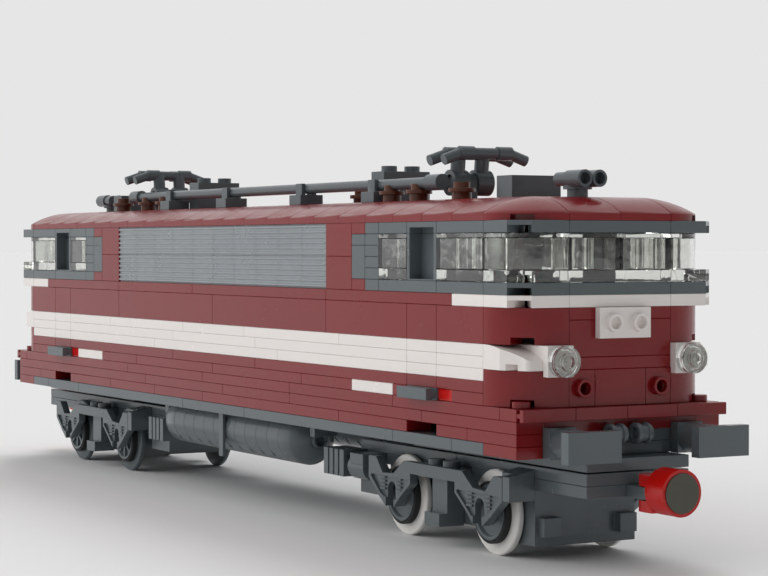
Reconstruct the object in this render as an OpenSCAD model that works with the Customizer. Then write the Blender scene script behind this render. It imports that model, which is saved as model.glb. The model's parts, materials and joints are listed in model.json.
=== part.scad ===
// Brick-built toy electric locomotive with two swivelling bogies.
// +X runs to the front, +Y to the left side, +Z up. The origin is on the
// floor under the middle of the model. All sizes are in millimetres.

/* [Brick module] */
// Distance between two studs
pitch = 8; // [6:0.1:10]
// Height of one plate, a third of a brick
plate = 3.2; // [2.6:0.05:4]
// Diameter of a stud
stud_d = 4.8; // [3.6:0.1:5.8]
// Height of a stud
stud_h = 1.7; // [1.2:0.1:2.2]
// Diameter of the hole in a hollow stud
hollow_d = 3.2; // [2.4:0.1:3.8]
// Diameter of a bar that clips hold
bar_d = 3.2; // [2.4:0.1:3.8]

/* [Body] */
// Length of the body in studs
body_studs = 46; // [38:2:56]
// Width of the body in studs
width_studs = 8; // [8:2:10]
// Height of the body's underside above the floor
sill_z = 28.8; // [26:0.1:36]
// Radius of the nose corners seen from above
nose_r = 16; // [12:0.5:16]
// Size of the cut corners on the plates round the nose
cut_corner = 4.6; // [2:0.1:6]
// Thickness of the windows
glass_t = 3; // [2:0.1:4]
// Depth of the round flutes on the side grilles
flute_depth = 0.6; // [0.3:0.05:0.75]
// Thickness of the brackets on the nose
bracket_t = 2.2; // [1.4:0.1:3.2]

/* [Roof] */
// Height of the straight lip at the roof's edge
lip_h = 1.9; // [1:0.1:3]
// Width of the curve at the sides and ends of the roof
curve_w = 16; // [12:0.5:20]
// Distance of the roof pipe from the centre line
pipe_y = 12; // [10:0.5:13]
// Height of the roof pipe's axis above the roof
pipe_h = 5.2; // [4.4:0.1:6.5]

/* [Pantographs] */
// Distance of each pantograph's pivot from the middle
panto_x = 108; // [100:0.5:112]
// Diameter of the pivot pin
panto_pin_d = 4.7; // [3.6:0.1:5.2]
// Clearance round the pivot pin
panto_fit = 0.05; // [0.02:0.01:0.1]
// Outer diameter of the rings that turn on the pin
panto_ring_d = 7.5; // [6.5:0.1:8]
// Height of the bars above the pivot
panto_rise = 8.2; // [6:0.1:10]
// Half the width of the bars
panto_half = 13.7; // [11:0.1:15]

/* [Running gear] */
// Distance of each bogie's pivot from the middle
bogie_x = 128; // [120:1:132]
// Distance between the two axles of a bogie
axle_base = 48; // [44:1:56]
// Diameter of the wheel flanges, which stand on the floor
flange_d = 23.2; // [20:0.1:24]
// Diameter of the wheel treads
tread_d = 16.8; // [14:0.1:18]
// Distance between the inner faces of a pair of wheels
back_to_back = 32.6; // [32.4:0.1:33.4]
// Thickness of a flange
flange_t = 2; // [1.4:0.1:2.4]
// Width of a tread outside its flange
tread_w = 2.2; // [1.6:0.1:2.6]
// Diameter of the axles
axle_d = 4.7; // [3:0.1:5]
// Clearance round an axle or a pivot in its bore
axle_fit = 0.06; // [0.02:0.01:0.1]
// Gap between the body and the bogies
bogie_gap = 0.4; // [0.3:0.1:1]
// Distance from the centre line to the side frames' outer faces
frame_y = 24; // [23.6:0.1:26]
// Thickness of the side frames
frame_t = 2.6; // [1.8:0.1:2.8]
// Distance that a side frame reaches past its axle
frame_reach = 12.4; // [12:0.1:13]

/* [Ends] */
// Distance of each buffer from the centre line
buffer_y = 20; // [18:0.5:24]
// Length of a buffer from the body to its face
buffer_len = 17.6; // [14:0.1:22]
// Diameter of the coupler's round head
coupler_d = 12; // [10:0.1:13]
// Distance from the bogie plates' end to the coupler's pivot
tongue_len = 6.6; // [6:0.1:9]
// Diameter of the coupler's pivot pin
coupler_pin_d = 3.2; // [2.4:0.1:3.6]

/* [Hidden] */

brick = 3 * plate;
half_l = body_studs * pitch / 2;
half_w = width_studs * pitch / 2;
wall = pitch;
fine = 48;
eps = 0.01;
// How far a cut reaches past the face that it goes through
past = 2;
// Gap between pieces that turn past each other
slack = 0.2;

// Heights, in plates above the body's underside
row_sill = 4;
row_trim = 5;
row_stripe = 6;
row_slope = 7;
row_wall = 9;
row_belt = 12;
row_window_sill = 13;
row_glass = 14;
row_head = 18;
row_roof = 19;
row_deck = 21;

// Places along the side, in studs back from the nose
nose_studs = 2;
belt_studs = 4;
door_studs = 5;
door_end_studs = 7;
post_studs = 9;
sill_studs = 10;
post_end_studs = 11;
grille_studs = 13;

// Height of the notches that clear studs, and their width
notch_h = 1.9;
notch_w = 6.4;

roof_z = level(row_deck);
axle_z = flange_d / 2;
wheel_in = back_to_back / 2;
wheel_out = wheel_in + flange_t + tread_w;
bogie_top = sill_z - plate - bogie_gap;
bogie_low = bogie_top - 2 * plate;
bogie_end = half_l + pitch;
bogie_inner = bogie_x - 7 * pitch;
bogie_half_w = 2 * pitch;
outer_axle = bogie_x + axle_base / 2;
inner_axle = bogie_x - axle_base / 2;
coupler_x = bogie_end + tongue_len;
tongue_r = 3.8;

// Height above the floor of a row counted in plates from the body's underside
function level(rows) = sill_z + rows * plate;
// Place along the body, counted in studs back from the front face
function from_nose(studs) = half_l - studs * pitch;

module both_ends() { children(); rotate(180) children(); }
module both_sides() { children(); mirror([0, 1, 0]) children(); }
module fore_and_aft() { children(); mirror([1, 0, 0]) children(); }
module four_corners() { both_sides() fore_and_aft() children(); }

// Box given by its lowest and highest corners
module block(low, high) {
    translate(low) cube(high - low);
}

// Round bar along X, and along Y, that starts at a point
module bar_x(start, length, d) {
    translate(start) rotate([0, 90, 0]) cylinder(h = length, d = d, $fn = fine);
}
module bar_y(middle, length, d) {
    translate(middle) rotate([90, 0, 0]) cylinder(h = length, d = d, center = true, $fn = fine);
}

// Rectangle with its middle at the origin and round corners
module round_plan(l, w, r) {
    union() {
        square([l - 2 * r, w], center = true);
        square([l, w - 2 * r], center = true);
        for (x = [-1, 1], y = [-1, 1])
            translate([x * (l / 2 - r), y * (w / 2 - r)]) circle(r, $fn = fine);
    }
}

// Rectangle with its middle at the origin and cut corners
module cut_plan(l, w, c) {
    polygon([[-l / 2, c - w / 2], [c - l / 2, -w / 2], [l / 2 - c, -w / 2], [l / 2, c - w / 2],
        [l / 2, w / 2 - c], [l / 2 - c, w / 2], [c - l / 2, w / 2], [-l / 2, w / 2 - c]]);
}

// Standing wall that follows the body's outline with round nose corners
module round_ring(low_row, high_row, t) {
    translate([0, 0, level(low_row)]) linear_extrude((high_row - low_row) * plate)
        difference() {
            round_plan(2 * half_l, 2 * half_w, nose_r);
            round_plan(2 * half_l - 2 * t, 2 * half_w - 2 * t, nose_r - t);
        }
}

// Wall of plates with cut corners, one stud thick
module cut_ring(low_row, high_row) {
    translate([0, 0, level(low_row)]) linear_extrude((high_row - low_row) * plate)
        difference() {
            cut_plan(2 * half_l, 2 * half_w, cut_corner);
            square([2 * (half_l - wall), 2 * (half_w - wall)], center = true);
        }
}

// Wall with square corners, one stud thick
module square_ring(low_row, high_row) {
    translate([0, 0, level(low_row)]) linear_extrude((high_row - low_row) * plate)
        difference() {
            square([2 * half_l, 2 * half_w], center = true);
            square([2 * (half_l - wall), 2 * (half_w - wall)], center = true);
        }
}

// Space between two distances from the nose, as wide as the body
module stretch(studs_a, studs_b) {
    x_low = from_nose(studs_b);
    x_high = from_nose(studs_a);
    block([x_low, -half_w - pitch, 0], [x_high, half_w + pitch, 2 * roof_z]);
}

// Piece of the side wall at the near front corner, standing proud of it if asked
module side_block(studs_a, studs_b, low_row, high_row, proud = 0) {
    block([from_nose(studs_b), -half_w - proud, level(low_row)],
        [from_nose(studs_a), wall - half_w, level(high_row)]);
}

// Notch on the diagonal of a nose corner, at the bottom of a row
module corner_notch(row) {
    reach = 2 * nose_r;
    translate([half_l - nose_r, nose_r - half_w, level(row)]) rotate(-45)
        block([nose_r - past, -notch_w / 2, -eps], [reach, notch_w / 2, notch_h]);
}

module stud(d = stud_d, h = stud_h) {
    cylinder(h = h, d = d, $fn = fine);
}

module hollow_stud() {
    difference() {
        stud();
        translate([0, 0, -eps]) cylinder(h = stud_h + 2 * eps, d = hollow_d, $fn = fine);
    }
}

// ---- body ----

module floor_plates() {
    color("dimgray") block([-from_nose(nose_studs), -half_w, sill_z],
        [from_nose(nose_studs), half_w, level(1)]);
}

// Plates under the floor that carry the bogies, each with its pivot pin
module bogie_bearers() {
    color("dimgray") both_ends() union() {
        block([bogie_x - 3 * pitch, -bogie_half_w, level(-1)], [bogie_end, bogie_half_w, level(0)]);
        translate([bogie_x, 0, bogie_low]) stud(stud_d, level(0) - bogie_low);
    }
}

// Piece of the row under the stripe on the right side, over a range along X
module trim_block(x_low, x_high, depth = 0) {
    block([x_low, depth - half_w, level(row_sill)], [x_high, wall - half_w, level(row_trim)]);
}

// Places in that row for the railed plates, the white plates and the red ones
module rail_places(depth = 0) {
    fore_and_aft() trim_block(from_nose(door_end_studs), from_nose(door_studs), depth);
}
module white_places(depth = 0) {
    fore_and_aft()
        trim_block(from_nose(post_end_studs), from_nose(door_end_studs + 1), depth);
}
module red_places(depth = 0) {
    trim_block(from_nose(door_studs), from_nose(door_studs - 1), depth);
    trim_block(-from_nose(door_end_studs), -from_nose(door_end_studs + 1), depth);
}

module sill_walls() {
    color("maroon") {
        difference() {
            union() {
                square_ring(1, row_sill);
                both_ends() block([from_nose(nose_studs), -half_w, level(0)],
                    [half_l, half_w, level(1)]);
                difference() {
                    round_ring(row_sill, row_stripe, wall);
                    both_ends() stretch(-1, nose_studs);
                }
            }
            both_ends() {
                rail_places(-past);
                white_places(-past);
                red_places(-past);
            }
            four_corners() side_block(door_studs, door_end_studs, 1, 2, past);
        }
        four_corners() translate([half_l - pitch / 2, pitch / 2 - half_w, level(row_sill)]) stud();
    }
}

module side_stripes() {
    color("white") difference() {
        round_ring(row_stripe, row_wall, wall);
        both_ends() stretch(-1, nose_studs);
    }
}

module side_walls() {
    color("maroon") union() {
        difference() {
            round_ring(row_wall, row_belt, wall);
            both_ends() stretch(-1, nose_studs);
        }
        both_sides() block([-from_nose(belt_studs), -half_w, level(row_belt)],
            [from_nose(belt_studs), wall - half_w, level(row_window_sill)]);
        four_corners() {
            side_block(post_end_studs, grille_studs, row_window_sill, row_roof);
            side_block(sill_studs, post_end_studs, row_window_sill, row_glass);
            side_block(sill_studs, post_end_studs, row_head, row_roof);
        }
    }
}

module nose() {
    difference() {
        intersection() {
            round_ring(row_sill, row_belt, wall);
            stretch(-1, nose_studs);
        }
        both_sides() {
            block([from_nose(nose_studs) - eps, -half_w - past, level(row_slope)],
                [half_l + past, -2 * pitch, level(row_wall)]);
            corner_notch(row_sill);
            corner_notch(row_wall);
        }
    }
    both_sides() on_nose(half_l, 1.5 * pitch, level(row_sill) + brick / 2) hollow_stud();
}

module nose_front() {
    color("maroon") nose();
}

module nose_rear() {
    color("maroon") rotate(180) nose();
}

module nose_belts() {
    color("white") both_ends() difference() {
        intersection() {
            cut_ring(row_belt, row_window_sill);
            stretch(-1, belt_studs);
        }
        both_sides() corner_notch(row_belt);
    }
}

module window_sills() {
    color("dimgray") both_ends() difference() {
        intersection() {
            cut_ring(row_window_sill, row_glass);
            stretch(-1, sill_studs);
        }
        both_sides() corner_notch(row_window_sill);
    }
}

module window_heads() {
    color("dimgray") both_ends() difference() {
        intersection() {
            cut_ring(row_head, row_roof);
            stretch(-1, sill_studs);
        }
        both_sides() {
            corner_notch(row_head);
            door_opening();
        }
    }
}

module cab_glass() {
    intersection() {
        union() {
            difference() {
                cut_ring(row_glass, row_glass + 1);
                both_sides() corner_notch(row_glass);
            }
            round_ring(row_glass + 1, row_head, glass_t);
        }
        stretch(-1, door_studs);
    }
    both_sides() block([from_nose(post_studs), -half_w, level(row_glass)],
        [from_nose(door_end_studs), glass_t - half_w, level(row_head)]);
}

module cab_glass_front() {
    color("lightgray", 0.4) cab_glass();
}

module cab_glass_rear() {
    color("lightgray", 0.4) rotate(180) cab_glass();
}

// Recess in the near front door, from its sill up into the row above
module door_opening() {
    rim = 1.5;
    block([from_nose(door_end_studs) + rim, -half_w - past, level(row_glass) + plate / 8],
        [from_nose(door_studs) - rim, wall / 2 - half_w, level(row_head) + plate / 2]);
}

module door_frames() {
    color("dimgray") four_corners() difference() {
        side_block(door_studs, door_end_studs, row_glass, row_head);
        door_opening();
    }
}

module window_posts() {
    color("dimgray") four_corners() side_block(post_studs, post_end_studs, row_glass, row_head);
}

module side_grilles() {
    flutes = 12;
    height = (row_roof - row_window_sill) * plate;
    color("darkgray") both_sides()
        translate([-from_nose(grille_studs), -half_w, level(row_window_sill)]) difference() {
            cube([2 * from_nose(grille_studs), wall, height]);
            for (i = [0:flutes])
                bar_x([-past, 0, i * height / flutes], 2 * from_nose(grille_studs) + 2 * past,
                    2 * flute_depth);
        }
}

// ---- roof ----

// Half of the roof's cross section: a lip, a curve and the flat deck
module roof_profile(half) {
    rise = (row_deck - row_roof) * plate - lip_h;
    r = (curve_w * curve_w + rise * rise) / (2 * rise);
    intersection() {
        union() {
            translate([half - curve_w, lip_h + rise - r]) circle(r, $fn = 4 * fine);
            square([half - curve_w, lip_h + rise]);
        }
        square([half, lip_h + rise]);
    }
}

module roof_shell() {
    translate([0, 0, level(row_roof)]) intersection() {
        rotate([90, 0, 90]) linear_extrude(2 * half_l, center = true)
            union() { roof_profile(half_w); mirror([1, 0]) roof_profile(half_w); }
        rotate([90, 0, 0]) linear_extrude(2 * half_w, center = true)
            union() { roof_profile(half_l); mirror([1, 0]) roof_profile(half_l); }
        linear_extrude((row_deck - row_roof) * plate) round_plan(2 * half_l, 2 * half_w, nose_r);
    }
}

module roof_middle() {
    color("maroon") difference() {
        roof_shell();
        both_ends() stretch(-1, nose_studs);
    }
}

module roof_ends() {
    color("maroon") both_ends() intersection() {
        roof_shell();
        stretch(-1, nose_studs);
    }
}

// ---- trim on the sides and noses ----

// Rail with a narrow neck behind it, along Y, on a wall that faces +X
module rail(length) {
    neck_h = 1.2;
    rail_t = 1.8;
    block([0, -length / 2, (plate - neck_h) / 2], [plate, length / 2, (plate + neck_h) / 2]);
    block([plate - rail_t, -length / 2, 0], [plate, length / 2, plate]);
}

// Plates beside the doors, each with a rail held off the wall
module grab_handles() {
    length = door_end_studs - door_studs;
    color("dimgray") both_ends() {
        union() {
            rail_places();
            fore_and_aft()
                translate([from_nose(door_studs + length / 2), eps - half_w, level(row_sill)])
                    rotate(-90) rail(length * pitch);
        }
    }
}

module white_tiles() {
    color("white") both_ends() white_places();
}

module red_tiles() {
    recess = 0.6;
    color("red") both_ends() red_places(recess);
}

// Wedge that ends the stripe on a nose corner: it narrows and slopes down to the front
module corner_slopes() {
    length = nose_studs * pitch;
    height = (row_wall - row_slope) * plate;
    front_h = 0.4 * height;
    tip_r = 1.6;
    drop = height - front_h;
    r = (length * length + drop * drop) / (2 * drop);
    color("white") four_corners()
        translate([from_nose(nose_studs), -half_w, level(row_slope)]) difference() {
            intersection() {
                linear_extrude(height) union() {
                    polygon([[0, 0], [pitch, 0], [length - tip_r, pitch - 3 * tip_r],
                        [length, pitch - 2 * tip_r], [length, pitch], [0, pitch]]);
                    translate([length - tip_r, pitch - 2 * tip_r]) circle(tip_r, $fn = fine);
                }
                translate([0, pitch + past, 0]) rotate([90, 0, 0])
                    linear_extrude(pitch + 2 * past) translate([0, height - r])
                        circle(r, $fn = 4 * fine);
            }
            block([pitch + tip_r, -past, -eps], [length - 2 * tip_r, pitch - 2 * tip_r, tip_r]);
        }
}

// Turns a part that faces up so that it faces forward at the front of the nose
module on_nose(x, y, z) {
    translate([x, y, z]) rotate([0, 90, 0]) children();
}

// Brackets beside the wedges, each with a plate that carries a head lamp
module lamp_brackets() {
    color("white") both_ends() both_sides() union() {
        block([from_nose(nose_studs), -3 * pitch, level(row_slope)],
            [half_l, -2 * pitch, level(row_wall)]);
        block([half_l - eps, -3 * pitch, level(row_wall) - pitch],
            [half_l + bracket_t, -2 * pitch, level(row_wall)]);
    }
}

module lamp_lenses() {
    color("white", 0.5) both_ends() both_sides()
        on_nose(half_l + bracket_t, 2.5 * pitch, level(row_wall) - pitch / 2) union() {
            cylinder(h = plate, d = pitch, $fn = fine);
            translate([0, 0, plate]) stud(stud_d, stud_h / 2);
        }
}

module number_plates() {
    color("white") both_ends() union() {
        block([half_l, -pitch, level(row_belt) - pitch],
            [half_l + bracket_t, pitch, level(row_belt)]);
        both_sides() on_nose(half_l + bracket_t, pitch / 2, level(row_belt) - pitch / 2)
            hollow_stud();
    }
}

// Rails along the front of the ledge under the nose
module end_ledges() {
    color("maroon") both_ends() translate([half_l, 0, level(row_sill - 1)]) rail(2 * half_w);
}

module buffers() {
    pad_t = plate;
    buffer_z = level(0) + pitch / 2;
    color("dimgray") both_ends() both_sides() union() {
        block([half_l, buffer_y - pitch / 2, level(0)],
            [half_l + plate, buffer_y + pitch / 2, level(0) + pitch]);
        bar_x([half_l, buffer_y, buffer_z], buffer_len - eps, pitch);
        block([half_l + buffer_len - pad_t, buffer_y - pitch, level(0)],
            [half_l + buffer_len, buffer_y + pitch, level(0) + pitch]);
    }
}

// Short brake pipe ends, each a tube across the front with a stem to the body
module brake_hoses() {
    tube_d = 6;
    bore_d = 4.9;
    stand_off = 3.5;
    color("dimgray") both_ends() for (y = [-1, 1]) difference() {
        union() {
            bar_y([half_l + stand_off, y * pitch / 2, level(2) - tube_d / 10], tube_d, tube_d);
            bar_x([half_l, y * pitch / 2, level(2) - tube_d / 10], stand_off, bar_d);
        }
        bar_y([half_l + stand_off, y * pitch / 2 - tube_d / 2, level(2) - tube_d / 10],
            tube_d / 2, bore_d);
    }
}

// Dome turned about Z that narrows from radius r to radius tip over its length
module turned_dome(r, tip, length) {
    centre = (length * length + tip * tip - r * r) / (2 * length);
    big_r = sqrt(r * r + centre * centre);
    rotate_extrude($fn = 2 * fine) intersection() {
        square([r, length]);
        translate([0, centre]) circle(big_r, $fn = 2 * fine);
    }
}

module air_tanks() {
    straight = 10 * pitch;
    dome = 1.5 * pitch;
    tank_d = 2 * pitch;
    color("dimgray") both_ends() translate([0, 1.5 * pitch - half_w, level(0) - 0.7 * pitch])
        difference() {
            union() {
                bar_x([-straight / 2, 0, 0], straight, tank_d);
                fore_and_aft() translate([straight / 2, 0, 0]) rotate([0, 90, 0]) {
                    turned_dome(tank_d / 2, stud_d / 2, dome);
                    translate([0, 0, dome]) hollow_stud();
                }
            }
            block([-straight, -pitch, 0.7 * pitch], [straight, pitch, tank_d]);
        }
}

// Strap down the outside of each tank, and a tab beyond each of its ends
module tank_straps() {
    strap_t = 1;
    tab_x = 54;
    color("dimgray") both_ends() {
        block([-plate / 2, pitch / 2 - strap_t - half_w, level(0) - 1.8 * pitch],
            [plate / 2, pitch / 2 - half_w, level(0)]);
        fore_and_aft() block([tab_x, pitch - half_w, level(0) - 1.3 * plate],
            [tab_x + plate, 2 * pitch - half_w, level(0)]);
    }
}

// ---- roof fittings ----

module roof_boxes() {
    color("dimgray") fore_and_aft()
        block([from_nose(6), -pitch, roof_z], [from_nose(5), pitch, roof_z + 2 * plate]);
}

// Round plate with a narrow neck below its flange
module round_plate() {
    neck_d = 0.7 * pitch;
    neck_h = 0.65 * plate;
    flange_w = 0.97 * pitch;
    cylinder(h = neck_h, d = neck_d, $fn = fine);
    translate([0, 0, neck_h]) cylinder(h = plate - neck_h, d = flange_w, $fn = fine);
}

// A pair of horns side by side on a round plate
module horns() {
    tail = 5;
    tail_d = 3.8;
    bell = 7.6;
    bell_d = 4.6;
    bore = 3;
    horn_y = bell_d / 2 + 0.05;
    horn_z = 4.9;
    back = 0.5;
    color("dimgray") fore_and_aft() translate([from_nose(2.5), 0, roof_z]) difference() {
        union() {
            round_plate();
            both_sides() {
                bar_x([-tail - back, horn_y, horn_z], tail + eps, tail_d);
                bar_x([-back, horn_y, horn_z], bell, bell_d);
            }
        }
        both_sides() bar_x([bell - back - bore, horn_y, horn_z], bore + past, hollow_d);
    }
}

module pipe(clear = 0) {
    length = 2 * panto_x - 0.5 * pitch;
    bar_x([-length / 2, -pipe_y, roof_z + pipe_h], length, bar_d + 2 * clear);
}

module insulators() {
    clear = 0.05;
    spots = [[10.5 * pitch, -pipe_y], [12.5 * pitch, -pipe_y], [15.5 * pitch, -pipe_y]];
    color("saddlebrown") difference() {
        union() {
            fore_and_aft() for (spot = spots) translate([spot[0], spot[1], roof_z]) {
                round_plate();
                translate([0, 0, plate]) stud();
            }
            translate([4.5 * pitch, pitch / 2, roof_z]) {
                round_plate();
                translate([0, 0, plate]) stud();
            }
        }
        pipe(clear);
    }
}

module roof_pipe() {
    sleeve = 7.5;
    length = 2 * panto_x - 0.5 * pitch;
    color("dimgray") {
        pipe();
        fore_and_aft() bar_x([length / 2, -pipe_y, roof_z + pipe_h], sleeve, panto_pin_d);
    }
}

// Plates whose two arms grip the pipe
module pipe_clips() {
    arm_t = 1.4;
    arm_l = 4.3;
    color("dimgray") fore_and_aft() for (x = [3.5, 9.5]) difference() {
        translate([x * pitch, -pipe_y, roof_z]) union() {
            block([-pitch / 2, -pitch / 2, 0], [pitch / 2, pitch / 2, plate]);
            both_sides() block([-arm_l / 2, bar_d / 2 - arm_t / 4, plate - eps],
                [arm_l / 2, bar_d / 2 + 3 * arm_t / 4, pipe_h + bar_d / 2]);
        }
        pipe();
    }
}

module roof_blocks() {
    color("dimgray") fore_and_aft() union() {
        block([8 * pitch, -pitch, roof_z], [9 * pitch, pitch, roof_z + brick]);
        both_sides() translate([8.5 * pitch, pitch / 2, roof_z + brick]) stud();
    }
}

// Lug that stands on the roof and holds the pivot pin
module pantograph_bases() {
    lug_t = 2.4;
    lug_l = 6;
    pin_l = 11.2;
    color("dimgray") fore_and_aft() translate([panto_x, 0, roof_z]) union() {
        block([-lug_l / 2, -lug_t / 2, 0], [lug_l / 2, lug_t / 2, pipe_h]);
        bar_y([0, 0, pipe_h], lug_t, lug_l);
        bar_y([0, 0, pipe_h], pin_l, panto_pin_d);
    }
}

// Round rod between two points
module rod(start, finish, d) {
    v = finish - start;
    translate(start) rotate([0, acos(v[2] / norm(v)), atan2(v[1], v[0])])
        cylinder(h = norm(v), d = d, $fn = fine);
}

// Front pantograph: two rings on the pin, two stems, and a pair of bent bars across them
module pantograph() {
    ring_l = 5.2;
    ring_y = pitch / 2;
    near = 1;
    far = near + pitch;
    stem_d = bar_d + 1.1;
    arm_d = bar_d - 0.3;
    collar_d = bar_d + 0.8;
    collar_l = 4.6;
    tip_drop = 2;
    elbow_y = ring_y + collar_l;
    translate([panto_x, 0, roof_z + pipe_h]) union() {
        for (x = [near, far]) bar_y([x, 0, panto_rise], 2 * ring_y + 1, bar_d);
        both_sides() {
            difference() {
                union() {
                    bar_y([0, ring_y, 0], ring_l, panto_ring_d);
                    rod([0, ring_y, 0], [near, ring_y, panto_rise], stem_d);
                }
                bar_y([0, ring_y, 0], 2 * ring_l, panto_pin_d + 2 * panto_fit);
            }
            rod([near, ring_y - 1, panto_rise], [far, ring_y - 1, panto_rise], arm_d);
            for (x = [near, far]) {
                bar_y([x, ring_y + collar_l / 2, panto_rise], collar_l, collar_d);
                rod([x, elbow_y - bar_d / 4, panto_rise], [x, panto_half, panto_rise - tip_drop],
                    bar_d);
            }
        }
    }
}

module pantograph_front() {
    color("dimgray") pantograph();
}

module pantograph_rear() {
    color("dimgray") mirror([1, 0, 0]) pantograph();
}

// ---- bogies ----

// Two layers of plates with the pivot's bore, and the tongue that holds the coupler
module bogie_plates() {
    color("dimgray") difference() {
        union() {
            block([bogie_inner, -bogie_half_w, bogie_low], [bogie_end, bogie_half_w, bogie_top]);
            block([bogie_end - eps, -tongue_r, bogie_low], [coupler_x, tongue_r, bogie_top - plate]);
            translate([coupler_x, 0, bogie_low]) cylinder(h = plate, r = tongue_r, $fn = fine);
        }
        translate([bogie_x, 0, bogie_low - past])
            cylinder(h = 2 * brick, d = stud_d + 2 * axle_fit, $fn = fine);
        translate([coupler_x, 0, bogie_low - past])
            cylinder(h = 2 * brick, d = coupler_pin_d + 2 * axle_fit, $fn = fine);
    }
}

// Plain block between the wheels, bored for the two axles
module motor() {
    low = 6;
    color("dimgray") difference() {
        block([inner_axle - pitch, slack - bogie_half_w, low],
            [outer_axle + pitch, bogie_half_w - slack, bogie_low]);
        for (x = [inner_axle, outer_axle])
            bar_y([x, 0, axle_z], 5 * pitch, axle_d + 2 * axle_fit);
    }
}

// Plough at the outer end with two steps on its face
module pilot() {
    low = 3.9;
    step_t = 2.7;
    color("dimgray") union() {
        block([outer_axle + pitch, -bogie_half_w, low],
            [outer_axle + 2 * pitch, bogie_half_w, bogie_low]);
        both_sides() block([outer_axle + 2 * pitch - eps, 9.4, low + 2.6],
            [outer_axle + 2 * pitch + step_t, 14.8, low + 7.7]);
    }
}

// Half outline of a side frame, from the middle of the bogie to its end, past an axle
function frame_half(axle) = [[0, 18.9], [axle - 11.8, 18.9], [axle - 11.8, 16],
    [axle - 6.1, 11.8], [axle - 1.5, 7.9], [axle + 1.5, 7.9], [axle + 6.2, 10.9],
    [axle + frame_reach, 15.9], [axle + frame_reach, 22.2], [axle + 8, 22.2],
    [axle + 4, 17.8], [axle - 2.4, 18.2], [axle - 8, 22.2], [0, 22.2]];

// Sunk panel inside the rim of a side frame, beside the axle's slot
function frame_panel(axle) = [[axle - 10.8, 17], [axle - 10.8, 16.4], [axle - 5.6, 12.6],
    [axle - 3.2, 10.6], [axle + 3.4, 11], [axle + 5.6, 12], [axle + 11, 16.4], [axle + 11, 17]];

// One end of a side frame: outline, sunk panel, axle slot and two spring stacks
module frame_end() {
    axle = axle_base / 2;
    panel_t = 0.8;
    slot_d = 4.6;
    slot_top = 15.6;
    spring_w = 3;
    spring_x = 4.6;
    coils = 4;
    coil_pitch = 1.1;
    rotate([90, 0, 0]) difference() {
        linear_extrude(frame_t) polygon(frame_half(axle));
        translate([0, 0, -panel_t]) linear_extrude(2 * panel_t) polygon(frame_panel(axle));
        translate([axle, slot_top - slot_d / 2, -past])
            cylinder(h = frame_t + 2 * past, d = slot_d, $fn = fine);
        translate([axle - slot_d / 2, 0, -past])
            cube([slot_d, slot_top - slot_d / 2, frame_t + 2 * past]);
    }
    for (x = [axle - spring_x, axle + spring_x], i = [0:coils - 1])
        block([x - spring_w / 2, -panel_t - eps, 13 + i * coil_pitch],
            [x + spring_w / 2, -panel_t / 4, 13 + (i + 0.55) * coil_pitch]);
}

// Two frames, each on a plate that reaches out from the bogie, with a post in the middle
module side_frames() {
    reach = frame_y - bogie_half_w;
    post_low = 9.2;
    foot_low = 5.6;
    color("dimgray") both_sides() translate([bogie_x, frame_y, 0]) union() {
        fore_and_aft() frame_end();
        block([-pitch, -reach, bogie_low], [pitch, -eps, bogie_low + plate]);
        for (x = [-pitch / 2, pitch / 2])
            translate([x, -pitch / 2, bogie_low + plate - eps]) stud();
        block([-pitch / 2, -reach, post_low], [pitch / 2, -frame_t, bogie_low + eps]);
        block([-pitch / 2, -reach, foot_low], [pitch / 2, 0, post_low + eps]);
    }
}

// Box with slats on its side, hung on the bogie's inner end
module slat_box() {
    slats = 4;
    length = 4 * plate;
    low = bogie_low - 4.4;
    slot_w = 0.8;
    difference() {
        block([0, 0, low], [length, pitch, low + pitch]);
        for (i = [1:slats - 1])
            block([i * length / slats - slot_w / 2, pitch - slot_w, low - past],
                [i * length / slats + slot_w / 2, pitch + past, low + pitch + past]);
        block([length - 1.5 * slot_w, 1.5, low + 1.5], [length + past, pitch - 1.5, low + pitch - 1.5]);
    }
}

// Box beside a wheel, with a top that slopes down outwards, cut clear of flange and frame
module sloped_box(x) {
    low = bogie_low - 2.8;
    clear = 0.5;
    frame_end = axle_base / 2 + frame_reach + slack;
    difference() {
        translate([x, bogie_half_w, 0]) rotate([90, 0, 90]) linear_extrude(pitch)
            polygon([[0, low], [pitch, low], [pitch, low + 6.6], [0, low + 8.4]]);
        for (axle = [inner_axle, outer_axle])
            bar_y([axle, 0, axle_z], 2 * (wheel_in + flange_t + clear), flange_d + 2 * clear);
        block([bogie_x - frame_end, frame_y - frame_t - slack, 0],
            [bogie_x + frame_end, frame_y + past, sill_z]);
    }
}

// Equipment hung beside and inside the wheels
module bogie_boxes() {
    spool_x = bogie_inner + pitch / 4;
    color("dimgray") {
        translate([bogie_inner + pitch / 2 - 4 * plate, -bogie_half_w, 0]) mirror([0, 1, 0])
            slat_box();
        translate([bogie_inner - 4 * plate, bogie_half_w, 0]) slat_box();
        mirror([0, 1, 0]) sloped_box(outer_axle + pitch);
        sloped_box(inner_axle - 2 * pitch);
        mirror([0, 1, 0]) union() {
            block([bogie_inner + pitch, bogie_half_w, bogie_low],
                [bogie_inner + 2 * pitch, 3 * pitch, bogie_low + plate]);
            bar_x([spool_x + pitch / 2, 2.5 * pitch, bogie_low - 1], 1.2 * pitch, 7.6);
        }
        union() {
            block([bogie_inner, -bogie_half_w, 9.2],
                [bogie_inner + 2 * pitch, bogie_half_w, 15.6]);
            block([bogie_inner + pitch / 2, -pitch, 15.6 - eps],
                [bogie_inner + 1.5 * pitch, pitch, bogie_low]);
        }
    }
}

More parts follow.
